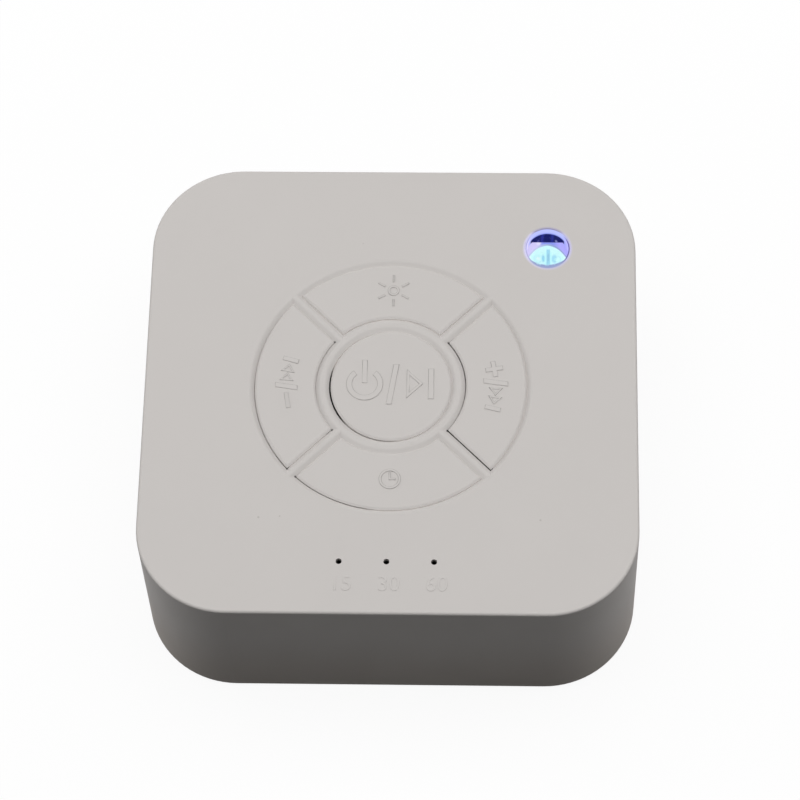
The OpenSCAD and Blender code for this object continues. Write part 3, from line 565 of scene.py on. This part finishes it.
def shrink_sleeve(name):
    """Blue shrink sleeve with a seam and soft wrinkles, over bright cell ends."""
    material, place = new_finish(name)
    low, high = corners("battery_cell")
    local = moved(place, BATTERY)
    x, _, z = axes(local)
    at_end = abs(x) > (high.x - low.x) / 2 - 0.3 * MM
    radius = distance(stretched(local, (0, 1, 1)))
    end = at_end * (radius < 6.5 * MM)
    button = at_end * (radius < 3.4 * MM)
    seam = between(z, -0.35 * MM, 0.35 * MM, 0.1 * MM)
    wrinkle = cloud(stretched(local, (3, 1, 1)), 4 * MM, 3.0)
    film = mixed(wrinkle, srgb(24, 84, 158), srgb(42, 112, 190))
    washer = mixed(button, srgb(236, 234, 226), srgb(206, 206, 204))
    return set_shader(material, {
        "Base Color": mixed(end, mixed(seam * 0.5, film, srgb(18, 60, 120)), washer),
        "Metallic": button,
        "Roughness": 0.24 + wrinkle * 0.14,
        "Normal": relief(wrinkle + seam * 0.3, 0.12 * MM, 0.5),
    })


def lead_insulation(name, colour, node, bend):
    """Soft insulation of two leads: coloured on the outer one, black on the one inside its bend."""
    material, place = new_finish(name)
    low, high = corners(node)
    x, _, z = axes(moved(place, (low.x, 0, high.z)))
    across = abs(x / (high.x - low.x - LEAD_REACH)).maths("POWER", bend)
    down = abs(z / (high.z - low.z - LEAD_REACH)).maths("POWER", bend)
    ripple = cloud(place, 0.6 * MM, 2.0)
    return set_shader(material, {
        "Base Color": mixed(across + down > 1, srgb(26, 26, 28), colour),
        "Roughness": 0.42 + ripple * 0.15,
        "Normal": relief(ripple, 0.02 * MM, 0.4),
    })


def frame_paint(name):
    """Black paint on pressed steel, with faint orange peel and rubbed spots."""
    material, place = new_finish(name)
    peel = cloud(place, 0.7 * MM, 2.0)
    rub = soft_step(cloud(place, 2.2 * MM, 4.0), 0.66, 0.74)
    return set_shader(material, {
        "Base Color": mixed(rub * 0.5, srgb(44, 44, 46), srgb(120, 120, 120)),
        "Roughness": 0.34 + peel * 0.14,
        "Metallic": rub * 0.5,
        "Normal": relief(peel, 0.02 * MM, 0.5),
    })


def magnet_ferrite(name):
    """Dark sintered ferrite with a dusty grain and small chips."""
    material, place = new_finish(name)
    grain = cloud(place, 0.3 * MM, 4.0, 0.7)
    chips = cells(place, 2.4 * MM) < 0.09
    return set_shader(material, {
        "Base Color": mixed(grain, srgb(58, 57, 60), srgb(84, 83, 86)),
        "Roughness": 0.72 + grain * 0.15,
        "Normal": relief(grain - chips * 0.6, 0.05 * MM, 0.7),
    })


def cone_paper(name):
    """Black pressed paper with fibres and rings round the speaker's axis."""
    material, place = new_finish(name)
    rings = wave(axis_distance(place, SPEAKER), 1.6 * MM)
    fibres = cloud(place, 0.5 * MM, 5.0, 0.7)
    return set_shader(material, {
        "Base Color": mixed(fibres, CHARCOAL, srgb(66, 65, 66)),
        "Roughness": 0.82,
        "Normal": relief(fibres + rings * 0.15, 0.08 * MM, 0.6),
    })


def stiffened_cloth(name):
    """Stiffened yellow cloth with a plain weave and cloudy varnish."""
    material, place = new_finish(name)
    x, y = axes(place)[:2]
    weave = wave(x, 0.5 * MM) * wave(y, 0.5 * MM) * 0.5 + 0.5
    varnish = cloud(place, 3 * MM, 3.0)
    return set_shader(material, {
        "Base Color": mixed(weave, srgb(150, 112, 52), srgb(198, 156, 84)),
        "Roughness": 0.86 - varnish * 0.16,
        "Normal": relief(weave, 0.07 * MM, 0.8),
    })


def coil_copper(name):
    """Varnished copper turns on a brown paper tube."""
    material, place = new_finish(name)
    z = axes(place)[2]
    turns = wave(z, 0.22 * MM)
    winding = z > COIL_WINDING_FOOT
    fibres = cloud(place, 0.4 * MM, 4.0)
    paper = mixed(fibres, srgb(150, 108, 62), srgb(176, 132, 84))
    return set_shader(material, {
        "Base Color": mixed(winding, paper, srgb(190, 108, 56)),
        "Metallic": winding * 0.9,
        "Roughness": 0.7 - winding * 0.4,
        "Normal": relief(turns * winding * 0.5 + fibres * 0.1, 0.05 * MM, 0.7),
    })


def open_weave(name):
    """Black open grille cloth of round threads."""
    material, place = new_finish(name)
    x, y = axes(place)[:2]
    thread = abs(wave(x, 0.55 * MM)).maths("MAXIMUM", abs(wave(y, 0.55 * MM)))
    return set_shader(material, {
        "Base Color": mixed(thread, srgb(6, 6, 7), srgb(52, 52, 54)),
        "Roughness": 0.9,
        "Normal": relief(thread, 0.12 * MM, 0.8),
    })


# ---------- Finishes of the lit lamp ----------

LILAC = srgb(213, 205, 252)
LIT_BLUE = srgb(176, 172, 255)


def lamp_point(x, y, z=0.0):
    """A point given in millimetres from the lamp's axis and the top of the case."""
    return (LAMP.x + x * MM, LAMP.y + y * MM, CASE_TOP + z * MM)


def lamp_place(place):
    """x, y and z from the lamp's axis and the top of the case."""
    return axes(moved(place, lamp_point(0, 0)))


def lamp_radius(place):
    """Distance from the lamp's axis."""
    return axis_distance(place, lamp_point(0, 0))


def lamp_sides(place):
    """How far to the right, rear, crown and front of the lamp each point is, from 0 to 1."""
    x, y = lamp_place(place)[:2]
    right = soft_step(x, -4 * MM, 4 * MM)
    rear = soft_step(y, 1.2 * MM, 3.6 * MM)
    crown = soft_step(y, 3.5 * MM, 4.4 * MM)
    front = soft_fall(y, -4.0 * MM, -1.8 * MM)
    return right, rear, crown, front


def to_the_right(x):
    """0 on the left of the shelf, 1 on its right, and a soft change between them."""
    return soft_step(x, -2.2 * MM, 2.2 * MM)


def front_rim_shade(place):
    """1 on the crescent of painted shade in front of the lens."""
    return soft_step(axis_distance(place, lamp_point(0, 3.2)), 5.9 * MM, 6.04 * MM)


def lit_part(material, colour, grain, roughness=0.35):
    """Fills in a finish that mostly shows its own light."""
    return set_shader(material, {
        "Base Color": srgb(30, 34, 42),
        "Roughness": roughness + grain * 0.1,
        "Specular IOR Level": 0.15,
        "Emission Color": colour,
        "Emission Strength": 1.0,
        "Normal": relief(grain, 0.01 * MM, 0.3),
    })


def lamp_depths(place):
    """Navy depths behind the shelf, with paler bands, two painted reflections of the lamps and painted
    shade in the corners.
    """
    x, _, z = lamp_place(place)
    aside = abs(x)
    bands = between(aside, 0.8 * MM, 1.35 * MM, 0.25 * MM)
    # Painted shade in the corners
    corner = soft_step(aside, 3.0 * MM, 3.9 * MM)
    flat = place.add("CombineXYZ", {0: aside, 1: 0.0, 2: z * 0.45})
    # Painted reflections of the two lamps
    patch = soft_fall(distance(flat, (1.95 * MM, 0, -1.95 * MM)), 0.14 * MM, 0.42 * MM)
    navy = mixed(bands, srgb(6, 6, 92), srgb(32, 36, 138))
    cornered = mixed(corner * 0.8, navy, srgb(16, 12, 66))
    return mixed(patch, cornered, mixed(x > 0, srgb(84, 82, 154), srgb(128, 132, 190)))


def milky_ring(name):
    """Milky ring with lines of painted shade at its edges, blue towards the rear and navy below the
    window.
    """
    material, place = new_finish(name)
    y, z = lamp_place(place)[1:]
    right, rear, crown, front = lamp_sides(place)
    # Lines of painted shade along the inner and outer edges of the ring's face
    outer = soft_step(lamp_radius(place), 4.68 * MM, 4.8 * MM)
    flank = mixed(right, srgb(176, 173, 218), srgb(88, 82, 150))
    inner_line = mixed(rear, mixed(front, flank, srgb(150, 160, 202)), srgb(186, 193, 255))
    rim = mixed(rear, mixed(right, srgb(216, 212, 243), srgb(197, 191, 229)), srgb(194, 197, 230))
    outer_line = mixed(crown, mixed(front, rim, srgb(176, 178, 208)), srgb(152, 149, 182))
    face = mixed(outer, inner_line, outer_line)
    lower = soft_fall(z, -1.7 * MM, -0.9 * MM) * rear
    side_wall = mixed(right, srgb(210, 205, 252), srgb(182, 179, 255))
    wall = mixed(lower, mixed(rear, side_wall, srgb(186, 194, 255)), srgb(134, 146, 230))
    lit = mixed(z > -0.15 * MM, wall, face)
    under_window = (z < -1.72 * MM) * (y > SHELF_EDGE)
    return lit_part(material, mixed(under_window, lit, lamp_depths(place)), cloud(place, 0.8 * MM, 2.0))


def clear_window(name):
    """Clear window with a faint haze and fine scratches."""
    material, place = new_finish(name)
    scratch = cloud(stretched(place, (1, 7, 1)), 0.5 * MM, 3.0)
    return set_shader(material, {
        "Base Color": srgb(60, 66, 110),
        "Roughness": 0.1 + scratch * 0.1,
        "Specular IOR Level": 0.3,
        "Alpha": 0.02 + scratch * 0.02,
        "Normal": relief(scratch, 0.004 * MM, 0.3),
    })


def pool(place, x, y, half_width, half_height):
    """1 in a soft oval on the lens, 0 outside it."""
    scaled = stretched(moved(place, lamp_point(x, y)), (1 / half_width, 1 / half_height, 0))
    return soft_fall(distance(scaled), 0.55 * MM, 1.15 * MM)


def lamp_glow(place, x, y):
    """1 in one lit lamp seen through the lens, and 1 in the dim ring round it."""
    away = distance(place, lamp_point(x, y, -2.3))
    return soft_fall(away, 0.22 * MM, 0.58 * MM), between(away, 0.78 * MM, 0.98 * MM, 0.16 * MM)


def lit_lens(place, glow):
    """Cyan light in the lens: a dark rib between two bright bars, two lamps and dim pools round them."""
    x, y = lamp_place(place)[:2]
    rib = between(x, -0.2 * MM, 0.58 * MM, 0.08 * MM) * between(y, -2.7 * MM, 1.0 * MM, 0.2 * MM)
    waist = between(x, 0.0 * MM, 0.4 * MM, 0.12 * MM) * between(y, -1.8 * MM, -0.1 * MM, 0.4 * MM)
    beside_rib = between(abs(x - 0.18 * MM), 0.44 * MM, 0.74 * MM, 0.1 * MM)
    bars = beside_rib * between(y, -2.9 * MM, 0.3 * MM, 0.4 * MM)
    left_lamp, left_ring = lamp_glow(place, -1.97, -1.25)
    right_lamp, right_ring = lamp_glow(place, 1.98, -1.46)
    dim = pool(place, -0.9, -1.15, 0.4, 1.1) * 0.95
    dim = dim.maths("MAXIMUM", pool(place, 1.5, -1.3, 0.75, 1.15) * 0.8)
    dim = dim.maths("MAXIMUM", (left_ring + right_ring) * 0.4)
    base = mixed(glow, srgb(196, 248, 250), srgb(210, 255, 255))
    lowered = mixed(soft_fall(y, -2.9 * MM, -1.9 * MM) * 0.6, base, srgb(190, 236, 255))
    pooled = mixed(dim, lowered, srgb(150, 216, 242))
    barred = mixed(bars * 0.8, pooled, srgb(186, 250, 255))
    ribbed = mixed(rib * 0.95, barred, mixed(waist, srgb(154, 216, 240), srgb(140, 196, 224)))
    spotted = mixed(left_lamp, mixed(right_lamp, ribbed, srgb(206, 255, 255)), srgb(234, 255, 255))
    return mixed(soft_step(abs(x), 3.4 * MM, 3.8 * MM), spotted, srgb(226, 254, 255))


def lit_bell(name):
    """Bell-shaped lens with the lamps behind it and painted shade on its front rim."""
    material, place = new_finish(name)
    glow = cloud(place, 1.6 * MM, 2.0)
    return lit_part(material, mixed(front_rim_shade(place), lit_lens(place, glow), srgb(146, 160, 204)), glow)


def lit_shelf(name):
    """White holder lit lilac on the left, blue on the right, and cyan where the lens spills its light."""
    material, place = new_finish(name)
    x, y, z = lamp_place(place)
    right = to_the_right(x)
    bell = y + abs(x / MM).maths("POWER", 2.2) * (0.133 * MM)
    gleam_point = (*lamp_point(-1.9, 2.75)[:2], LAMP_SHELF_TOP)
    gleam = soft_fall(distance(place, gleam_point), 0.2 * MM, 0.7 * MM)
    centre = between(x, -1.5 * MM, 1.9 * MM, 0.9 * MM)
    crown = mixed(centre, mixed(right, LILAC, LIT_BLUE), srgb(134, 148, 238))
    lit = mixed(gleam, crown, srgb(228, 224, 255))
    brim = between(bell, 2.15 * MM, 2.6 * MM, 0.1 * MM) * 0.8
    brimmed = mixed(brim, lit, mixed(right, srgb(190, 205, 236), srgb(142, 166, 206)))
    spilt = mixed(soft_step(bell, 2.07 * MM, 2.19 * MM), srgb(214, 252, 255), brimmed)
    # Painted shade on the crescent in front of the lens
    rimmed = mixed(front_rim_shade(place), spilt, srgb(146, 156, 202))
    deep = (z < LAMP_SHELF_TOP - CASE_TOP - 0.05 * MM) * (y > SHELF_EDGE)
    return lit_part(material, mixed(deep, rimmed, lamp_depths(place)), cloud(place, 1.2 * MM, 2.0))


def dark_shroud(name):
    """Black tube round the lamp, with the lamp's light on its inner wall and navy behind the shelf."""
    material, place = new_finish(name)
    x, y = lamp_place(place)[:2]
    low, high = corners("lamp_shroud")
    outside = lamp_radius(place) > (high.x - low.x) / 2 - 0.1 * MM
    lit = mixed(y > SHELF_EDGE, mixed(to_the_right(x), LILAC, LIT_BLUE), lamp_depths(place))
    return lit_part(material, mixed(outside, lit, BLACK), cloud(place, 0.6 * MM, 2.0), 0.5)


# ---------- Dressing the nodes ----------

def dress(nodes, material):
    """Gives nodes a finish."""
    for node in nodes:
        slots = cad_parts[node].data.materials
        slots.clear()
        slots.append(material)


black_plastic = satin_plastic("black_plastic", CHARCOAL)
pole_steel = plated_steel("pole_steel", srgb(196, 198, 204), drawn=(1, 5, 1))
screw_steel = plated_steel("plated_steel", srgb(206, 207, 210))
spring_steel = plated_steel("spring_steel", srgb(214, 214, 216), drawn=(6, 1, 1))
spider_cloth = stiffened_cloth("spider_cloth")

dress(["housing", "base_cover"], moulded_plastic("shell_plastic", shell_colour, OPENING_EDGE))
dress([key + "_key" for key in KEYS], moulded_plastic("key_plastic", key_colour, KEY_EDGE))
dress([key + "_plunger" for key in KEYS], satin_plastic("plunger_plastic", srgb(232, 226, 206)))
dress([key + "_snap_dome" for key in KEYS] + ["switch_covers"], spring_steel)
dress(["rubber_feet"], soft_rubber("foot_rubber", srgb(58, 58, 60)))
dress(["battery_pad", "speaker_gasket"], soft_rubber("sealing_foam", srgb(74, 74, 78)))
dress(["speaker_surround"], soft_rubber("roll_foam", srgb(40, 40, 42)))
dress(["housing_screws", "board_screws", "speaker_screws"], screw_steel)
dress(["speaker_front_plate", "speaker_yoke"], pole_steel)
dress(["usb_shell"], plated_steel("socket_steel", srgb(200, 202, 206), drawn=(1, 6, 1)))
dress(["switch_bodies", "usb_tongue", "headphone_jack", "timer_light_block"], black_plastic)
dress(["main_board"], board_laminate("board_laminate"))
for chip in ("sound_chip", "memory_chip", "amplifier_chip", "charge_chip"):
    dress([chip], chip_package(chip + "_package", chip))
dress(["power_inductor"], coil_ferrite("coil_ferrite"))
dress(["filter_capacitors"], can_aluminium("can_aluminium", "filter_capacitors"))
dress(["lead_sockets"], satin_plastic("socket_nylon", srgb(228, 222, 202)))
dress(["battery_cell"], shrink_sleeve("shrink_sleeve"))
dress(["battery_leads"], lead_insulation("battery_lead_skin", srgb(186, 26, 22), "battery_leads", 5.9))
dress(["speaker_leads"], lead_insulation("speaker_lead_skin", srgb(222, 186, 40), "speaker_leads", 3.2))
dress(["speaker_frame"], frame_paint("frame_paint"))
dress(["speaker_magnet"], magnet_ferrite("magnet_ferrite"))
dress(["speaker_cone", "dust_cap"], cone_paper("cone_paper"))
dress(["speaker_spider"], spider_cloth)
dress(["voice_coil"], coil_copper("coil_copper"))
dress(["grille_cloth"], open_weave("grille_weave"))
dress(["timer_leds"], light_package("timer_light_resin", TIMER_LIGHTS, 0.0))
dress(["lamp_leds"], light_package("lamp_light_resin", LAMP_LIGHTS, 1.0))
dress(["lamp_ring"], milky_ring("lit_ring"))
dress(["lamp_window"], clear_window("clear_window"))
dress(["lamp_diffuser"], lit_bell("lit_bell"))
dress(["lamp_holder"], lit_shelf("lit_holder"))
dress(["lamp_shroud"], dark_shroud("lit_shroud"))


# ---------- Snap domes and the speaker's pleated disc ----------

DOME_SHEET = 0.12 * MM
DOME_STEPS = 12

DISC_SHEET = 0.14 * MM
COIL_CLEARANCE = 0.3 * MM
PLEATS = 5
PLEAT_STEPS = 8 * PLEATS
PLEAT_MIDDLE = 0.1 * MM
PLEAT_HEIGHT = 0.2 * MM

# The inner pleats rise clear of the cone over this share of the disc's width
INNER_RISE = 0.5 * MM
RISE_SHARE = 0.24


def in_scene(name, data):
    """A new object in the scene."""
    item = bpy.data.objects.new(name, data)
    bpy.context.scene.collection.objects.link(item)
    return item


def revolved(name, profile, centre, steps):
    """A mesh turned round an upright axis from points of radius and height."""
    shape = bmesh.new()
    rings = []
    for i in range(steps):
        turn = 2 * math.pi * i / steps
        spoke = Vector((math.cos(turn), math.sin(turn), 0))
        points = [centre + spoke * radius + Vector((0, 0, height)) for radius, height in profile]
        rings.append([shape.verts.new(point) for point in points])
    for near, far in zip(rings, rings[1:] + rings[:1]):
        for j in range(len(profile) - 1):
            shape.faces.new((near[j], near[j + 1], far[j + 1], far[j]))
    bmesh.ops.remove_doubles(shape, verts=shape.verts, dist=1e-6)
    bmesh.ops.recalc_face_normals(shape, faces=shape.faces)
    for face in shape.faces:
        face.smooth = True
    mesh = bpy.data.meshes.new(name)
    shape.to_mesh(mesh)
    shape.free()
    return in_scene(name, mesh)


def dome_spring(key):
    """A thin pressed dome over its switch."""
    low, high = corners(key + "_snap_dome")
    foot = foot_of(key + "_snap_dome")
    reach = (high.x - low.x) / 2
    height = high.z - low.z
    rise = height - DOME_SHEET
    shares = [i / DOME_STEPS for i in range(DOME_STEPS + 1)]
    under = [(reach * share, rise * (1 - share ** 2)) for share in shares]
    over = [(radius, level + DOME_SHEET) for radius, level in reversed(under)]
    piece = revolved(key + "_dome_spring", under + over, foot, steps=48)
    piece.data.materials.append(spring_steel)
    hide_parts(key + "_snap_dome")
    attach(piece, "body")
    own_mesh(piece)


def pleat_level(share):
    """Height of the middle of the pleated sheet, from its inner to its outer edge."""
    rise = 0.5 + 0.5 * math.cos(math.pi * min(1, share / RISE_SHARE))
    pleat = math.sin(2 * math.pi * PLEATS * share)
    return PLEAT_MIDDLE + PLEAT_HEIGHT * pleat + INNER_RISE * rise


def pleated_disc():
    """The speaker's centring disc, pressed from one sheet of cloth."""
    low, high = corners("speaker_spider")
    coil_low, coil_high = corners("voice_coil")
    inner = (coil_high.x - coil_low.x) / 2 + COIL_CLEARANCE
    outer = (high.x - low.x) / 2
    shares = [i / PLEAT_STEPS for i in range(PLEAT_STEPS + 1)]
    sheet = [(inner + (outer - inner) * share, pleat_level(share)) for share in shares]
    under = [(radius, level - DISC_SHEET / 2) for radius, level in sheet]
    over = [(radius, level + DISC_SHEET / 2) for radius, level in reversed(sheet)]
    piece = revolved("pleated_disc", under + over + under[:1], foot_of("speaker_spider"), steps=96)
    piece.data.materials.append(spider_cloth)
    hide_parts("speaker_spider")
    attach(piece, "body")


for key in KEYS:
    dome_spring(key)
pleated_disc()


# ---------- Outlines of the raised signs, in millimetres ----------

def turned(outline, angle, to=(0, 0)):
    """An outline turned by degrees and then moved."""
    c, s = math.cos(math.radians(angle)), math.sin(math.radians(angle))
    return [(to[0] + c * x - s * y, to[1] + s * x + c * y) for x, y in outline]


def placed(outlines, angle, to):
    """Several outlines turned together and then moved."""
    return [turned(outline, angle, to) for outline in outlines]


def bar(width, height, lean=0.0):
    """An upright bar round the origin whose top leans to the right."""
    w, h = width / 2, height / 2
    return [(-w - lean / 2, -h), (w - lean / 2, -h), (w + lean / 2, h), (-w + lean / 2, h)]


def cross(size, width):
    """A plus sign round the origin."""
    w, h = width / 2, size / 2
    quarter = [(w, w), (w, h), (-w, h)]
    return [point for i in range(4) for point in turned(quarter, 90 * i)]


def arc(radius, start, end, steps):
    """Points along an arc from one angle to another, in degrees."""
    angles = [math.radians(start + (end - start) * i / steps) for i in range(steps + 1)]
    return [(radius * math.cos(angle), radius * math.sin(angle)) for angle in angles]


def arc_band(inner, outer, start, end, steps=40):
    """Part of a ring from one angle to another, in degrees."""
    return arc(outer, start, end, steps) + arc(inner, start, end, steps)[::-1]


def circle(radius, steps=48):
    """A full circle round the origin."""
    return arc(radius, 0, 360, steps)[:-1]


def hollow_triangle(length, height, width):
    """A triangle that points along +X, and its inner outline."""
    side = math.hypot(length, height / 2)
    inner_radius = length * height / (height + 2 * side)
    scale = 1 - width / inner_radius
    centre = -length / 2 + inner_radius
    outer = [(-length / 2, -height / 2), (length / 2, 0), (-length / 2, height / 2)]
    inner = [(centre + (x - centre) * scale, y * scale) for x, y in outer]
    return [outer, inner]


def on_arc(radius, degrees, outward):
    """Turn and place of a sign that follows the ring of keys, read downwards."""
    to = (radius * math.cos(math.radians(degrees)), radius * math.sin(math.radians(degrees)))
    return degrees - 90 if outward else degrees + 90, to


# ---------- Raised signs ----------

SIGN_SLOPE = 0.1 * MM
NUMBER_SLOPE = 0.05 * MM

# Height of a figure as a share of the font's size
FIGURE_SHARE = 0.72


def raise_curve(curve, slope):
    """Gives a flat curve its thickness, with sides that slope at 45 degrees."""
    curve.dimensions = "2D"
    curve.fill_mode = "BOTH"
    curve.bevel_resolution = 0
    curve.bevel_depth = slope
    curve.offset = -slope
    curve.extrude = slope / 2


def as_mesh(name, curve, place, finish):
    """Turns a flat curve into a mesh at that place."""
    shape = in_scene(name, curve)
    shape.location = place
    bpy.context.view_layer.update()
    mesh = bpy.data.meshes.new_from_object(shape.evaluated_get(bpy.context.evaluated_depsgraph_get()))
    mesh.transform(shape.matrix_world)
    bpy.data.objects.remove(shape)
    mesh.materials.clear()
    mesh.materials.append(finish)
    return in_scene(name, mesh)


def raised_sign(name, outlines, body, finish):
    """Closed outlines in millimetres as one raised sign on a key."""
    curve = bpy.data.curves.new(name, "CURVE")
    raise_curve(curve, SIGN_SLOPE)
    for outline in outlines:
        spline = curve.splines.new("POLY")
        spline.points.add(len(outline) - 1)
        for point, (x, y) in zip(spline.points, outline):
            point.co = (x * MM, y * MM, 0, 1)
        spline.use_cyclic_u = True
    piece = as_mesh(name, curve, (0, 0, KEY_TOP + SIGN_SLOPE / 2), finish)
    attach(piece, body)


def raised_number(text, x, y, height):
    """A plain number moulded on the case."""
    name = "minutes_" + text
    curve = bpy.data.curves.new(name, "FONT")
    curve.body = text
    curve.align_x = "CENTER"
    curve.align_y = "CENTER"
    curve.size = height * MM / FIGURE_SHARE
    raise_curve(curve, NUMBER_SLOPE)
    piece = as_mesh(name, curve, (x * MM, y * MM, CASE_TOP + NUMBER_SLOPE / 2), number_plastic)
    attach(piece, "body")


NUMBER_HEIGHT = 3.4
NUMBER_ROW_Y = -45.45

STROKE = 1.2
SIGN_RADIUS = 22.2
QUIETER_RADIUS = SIGN_RADIUS - 0.2
SUN_CENTRE = (0.2, 22.6)
CLOCK_CENTRE = (0.3, -21.7)

sign_plastic = sign_finish("sign_plastic", 0.78)
# Sign plastic with a slightly darker top and fainter painted shade on its sloping sides
dimmer_plastic = sign_finish("dimmer_sign_plastic", 0.85, 0.94)
grey_plastic = sign_finish("grey_sign_plastic", 0.8, 0.84)
number_plastic = sign_finish("number_plastic", 0.97)

power_ring = turned(arc_band(2.65, 3.88, 128, 412), 0, (-5.45, 0.3))
power_bar = turned(bar(1.1, 5.4), 0, (-5.5, 3.2))
slash = turned(bar(STROKE, 9.4, lean=1.5), 0, (0.42, 0.25))
play = placed(hollow_triangle(3.5, 6.8, 0.6), 0, (5.15, 0.4))
pause_bar = turned(bar(STROKE, 7.1), 0, (8.55, 0.4))
raised_sign("play_signs", [power_ring, power_bar, slash, *play, pause_bar], "centre_key", sign_plastic)

ray = turned(bar(0.5, 1.7), 0, (0, 2.9))
long_rays = [turned(ray, angle, SUN_CENTRE) for angle in (0, 180)]
side_rays = [turned(ray, angle, SUN_CENTRE) for angle in (60, 120, 240, 300)]
raised_sign("sun_ring", placed([circle(1.25), circle(0.75)], 0, SUN_CENTRE), "light_key", sign_plastic)
raised_sign("sun_long_rays", long_rays, "light_key", grey_plastic)
raised_sign("sun_side_rays", side_rays, "light_key", dimmer_plastic)

skip_bar = bar(1.0, 3.4)
skip_arrow = hollow_triangle(1.9, 3.0, 0.38)
skip_back_arrow = placed(skip_arrow, 180, (0, 0))

louder = []
for shapes, degrees in (
    ([cross(3.7, 1.0)], 10.4),
    ([bar(1.1, 5.2, lean=0.9)], 2.2),
    (skip_arrow, -3.4),
    (skip_arrow, -8.7),
    ([skip_bar], -13.6),
):
    louder += placed(shapes, *on_arc(SIGN_RADIUS, degrees, True))
raised_sign("louder_signs", louder, "forward_key", sign_plastic)

quieter = []
for shapes, degrees in (
    ([skip_bar], 164.6),
    (skip_back_arrow, 169.6),
    (skip_back_arrow, 175.0),
    ([bar(1.1, 4.7, lean=0.8)], 181.0),
):
    quieter += placed(shapes, *on_arc(QUIETER_RADIUS, degrees, False))
raised_sign("quieter_signs", quieter, "back_key", sign_plastic)
minus = placed([turned(bar(0.95, 3.7), 90)], *on_arc(QUIETER_RADIUS, 189.6, False))
raised_sign("minus_sign", minus, "back_key", dimmer_plastic)

hands = [(-0.25, -0.25), (1.2, -0.25), (1.2, 0.2), (0.2, 0.2), (0.2, 1.5), (-0.25, 1.5)]
clock = placed([circle(2.3), circle(1.75), hands], 0, CLOCK_CENTRE)
raised_sign("clock_sign", clock, "timer_key", sign_plastic)

for minutes, x in (("15", -9.3), ("30", 0.55), ("60", 10.4)):
    raised_number(minutes, x, NUMBER_ROW_Y, NUMBER_HEIGHT)


# ---------- Studio ----------

def seen_directly(tree):
    """1 for rays from the camera, from mirrors and through glass."""
    rays = ("Is Camera Ray", "Is Glossy Ray", "Is Transmission Ray")
    camera, glossy, through = [Signal(tree).add("LightPath", {}, out=ray) for ray in rays]
    return camera.maths("MAXIMUM", glossy).maths("MAXIMUM", through)


def white_surround(ambient):
    """A world that looks white and lights the object softly."""
    world = bpy.data.worlds.new("surround")
    bpy.context.scene.world = world
    world.use_nodes = True
    tree = world.node_tree
    background = tree.nodes["Background"]
    background.inputs["Color"].default_value = WHITE
    strength = ambient + seen_directly(tree) * (1 - ambient)
    tree.links.new(strength.socket, background.inputs["Strength"])


def pale_floor(reach, bounce):
    """A white table top that keeps a faint shadow, and throws a little light on the object."""
    mesh = bpy.data.meshes.new("table_top")
    rim = [(-reach, -reach, 0), (reach, -reach, 0), (reach, reach, 0), (-reach, reach, 0)]
    mesh.from_pydata(rim, [], [(0, 1, 2, 3)])
    material, place = new_finish("table_top")
    tree = material.node_tree
    tree.nodes.remove(tree.nodes["Principled BSDF"])
    away = distance(place)
    paper = place.add("BsdfDiffuse", {"Color": (0.92, 0.92, 0.92, 1)})
    white = place.add("Emission", {"Color": WHITE, "Strength": 1.0})
    shown = place.add("MixShader", {0: soft_fall(away, 0.09, 0.2) * 0.08, 1: white, 2: paper})
    black = place.add("BsdfDiffuse", {"Color": BLACK})
    grey = place.add("BsdfDiffuse", {"Color": (bounce, bounce, bounce, 1)})
    dull = place.add("MixShader", {0: soft_step(away, 0.06, 0.13), 1: black, 2: grey})
    whole = place.add("MixShader", {0: seen_directly(tree), 1: dull, 2: shown})
    tree.links.new(whole.socket, tree.nodes["Material Output"].inputs["Surface"])
    mesh.materials.append(material)
    floor = in_scene("table_top", mesh)


def soft_box(name, size, place, aim, radiance):
    """A square area lamp of that radiance, aimed at a point."""
    lamp = bpy.data.lights.new(name, "AREA")
    lamp.shape = "RECTANGLE"
    lamp.size, lamp.size_y = size
    lamp.energy = radiance * math.pi * size[0] * size[1]
    holder = in_scene(name, lamp)
    holder.location = place
    holder.rotation_euler = (Vector(aim) - Vector(place)).to_track_quat("-Z", "Y").to_euler()


def studio_camera(target, away, azimuth, elevation, roll):
    """A long lens at that distance from its target, which looks down on the front edge."""
    back = Vector((
        math.sin(azimuth) * math.cos(elevation),
        -math.cos(azimuth) * math.cos(elevation),
        math.sin(elevation),
    ))
    right = (-back).cross(Vector((0, 0, 1))).normalized()
    up = right.cross(-back)
    across = math.cos(roll) * right + math.sin(roll) * up
    upright = -math.sin(roll) * right + math.cos(roll) * up
    camera = in_scene("camera", bpy.data.cameras.new("camera"))
    camera.data.lens = 142.8
    camera.data.sensor_width = 36
    camera.data.clip_start = 0.01
    camera.data.clip_end = 20
    turn = Matrix((across, upright, back)).transposed().to_4x4()
    camera.matrix_world = Matrix.Translation(target + back * away) @ turn
    bpy.context.scene.camera = camera


SIDE_BOX = (0.8, 0.4)
BODY_MIDDLE = (0, 0, 0.02)

bpy.context.scene.view_settings.view_transform = "Standard"
white_surround(ambient=0.068)
pale_floor(reach=3.0, bounce=0.105)
soft_box("overhead_box", (1.9, 1.15), (0, 0.14, 1.3), (0, 0, 0), 2.86)
soft_box("left_box", SIDE_BOX, (-0.9, 0.15, 0.3), BODY_MIDDLE, 1.75)
soft_box("right_box", SIDE_BOX, (0.9, 0.15, 0.3), BODY_MIDDLE, 1.55)
soft_box("rear_box", SIDE_BOX, (0, 1.0, 0.35), BODY_MIDDLE, 0.6)
studio_camera(
    target=Vector((0.78, 16.08, 0)) * MM,
    away=0.71192,
    azimuth=math.radians(3.785),
    elevation=math.radians(63.908),
    roll=math.radians(-2.944),
)
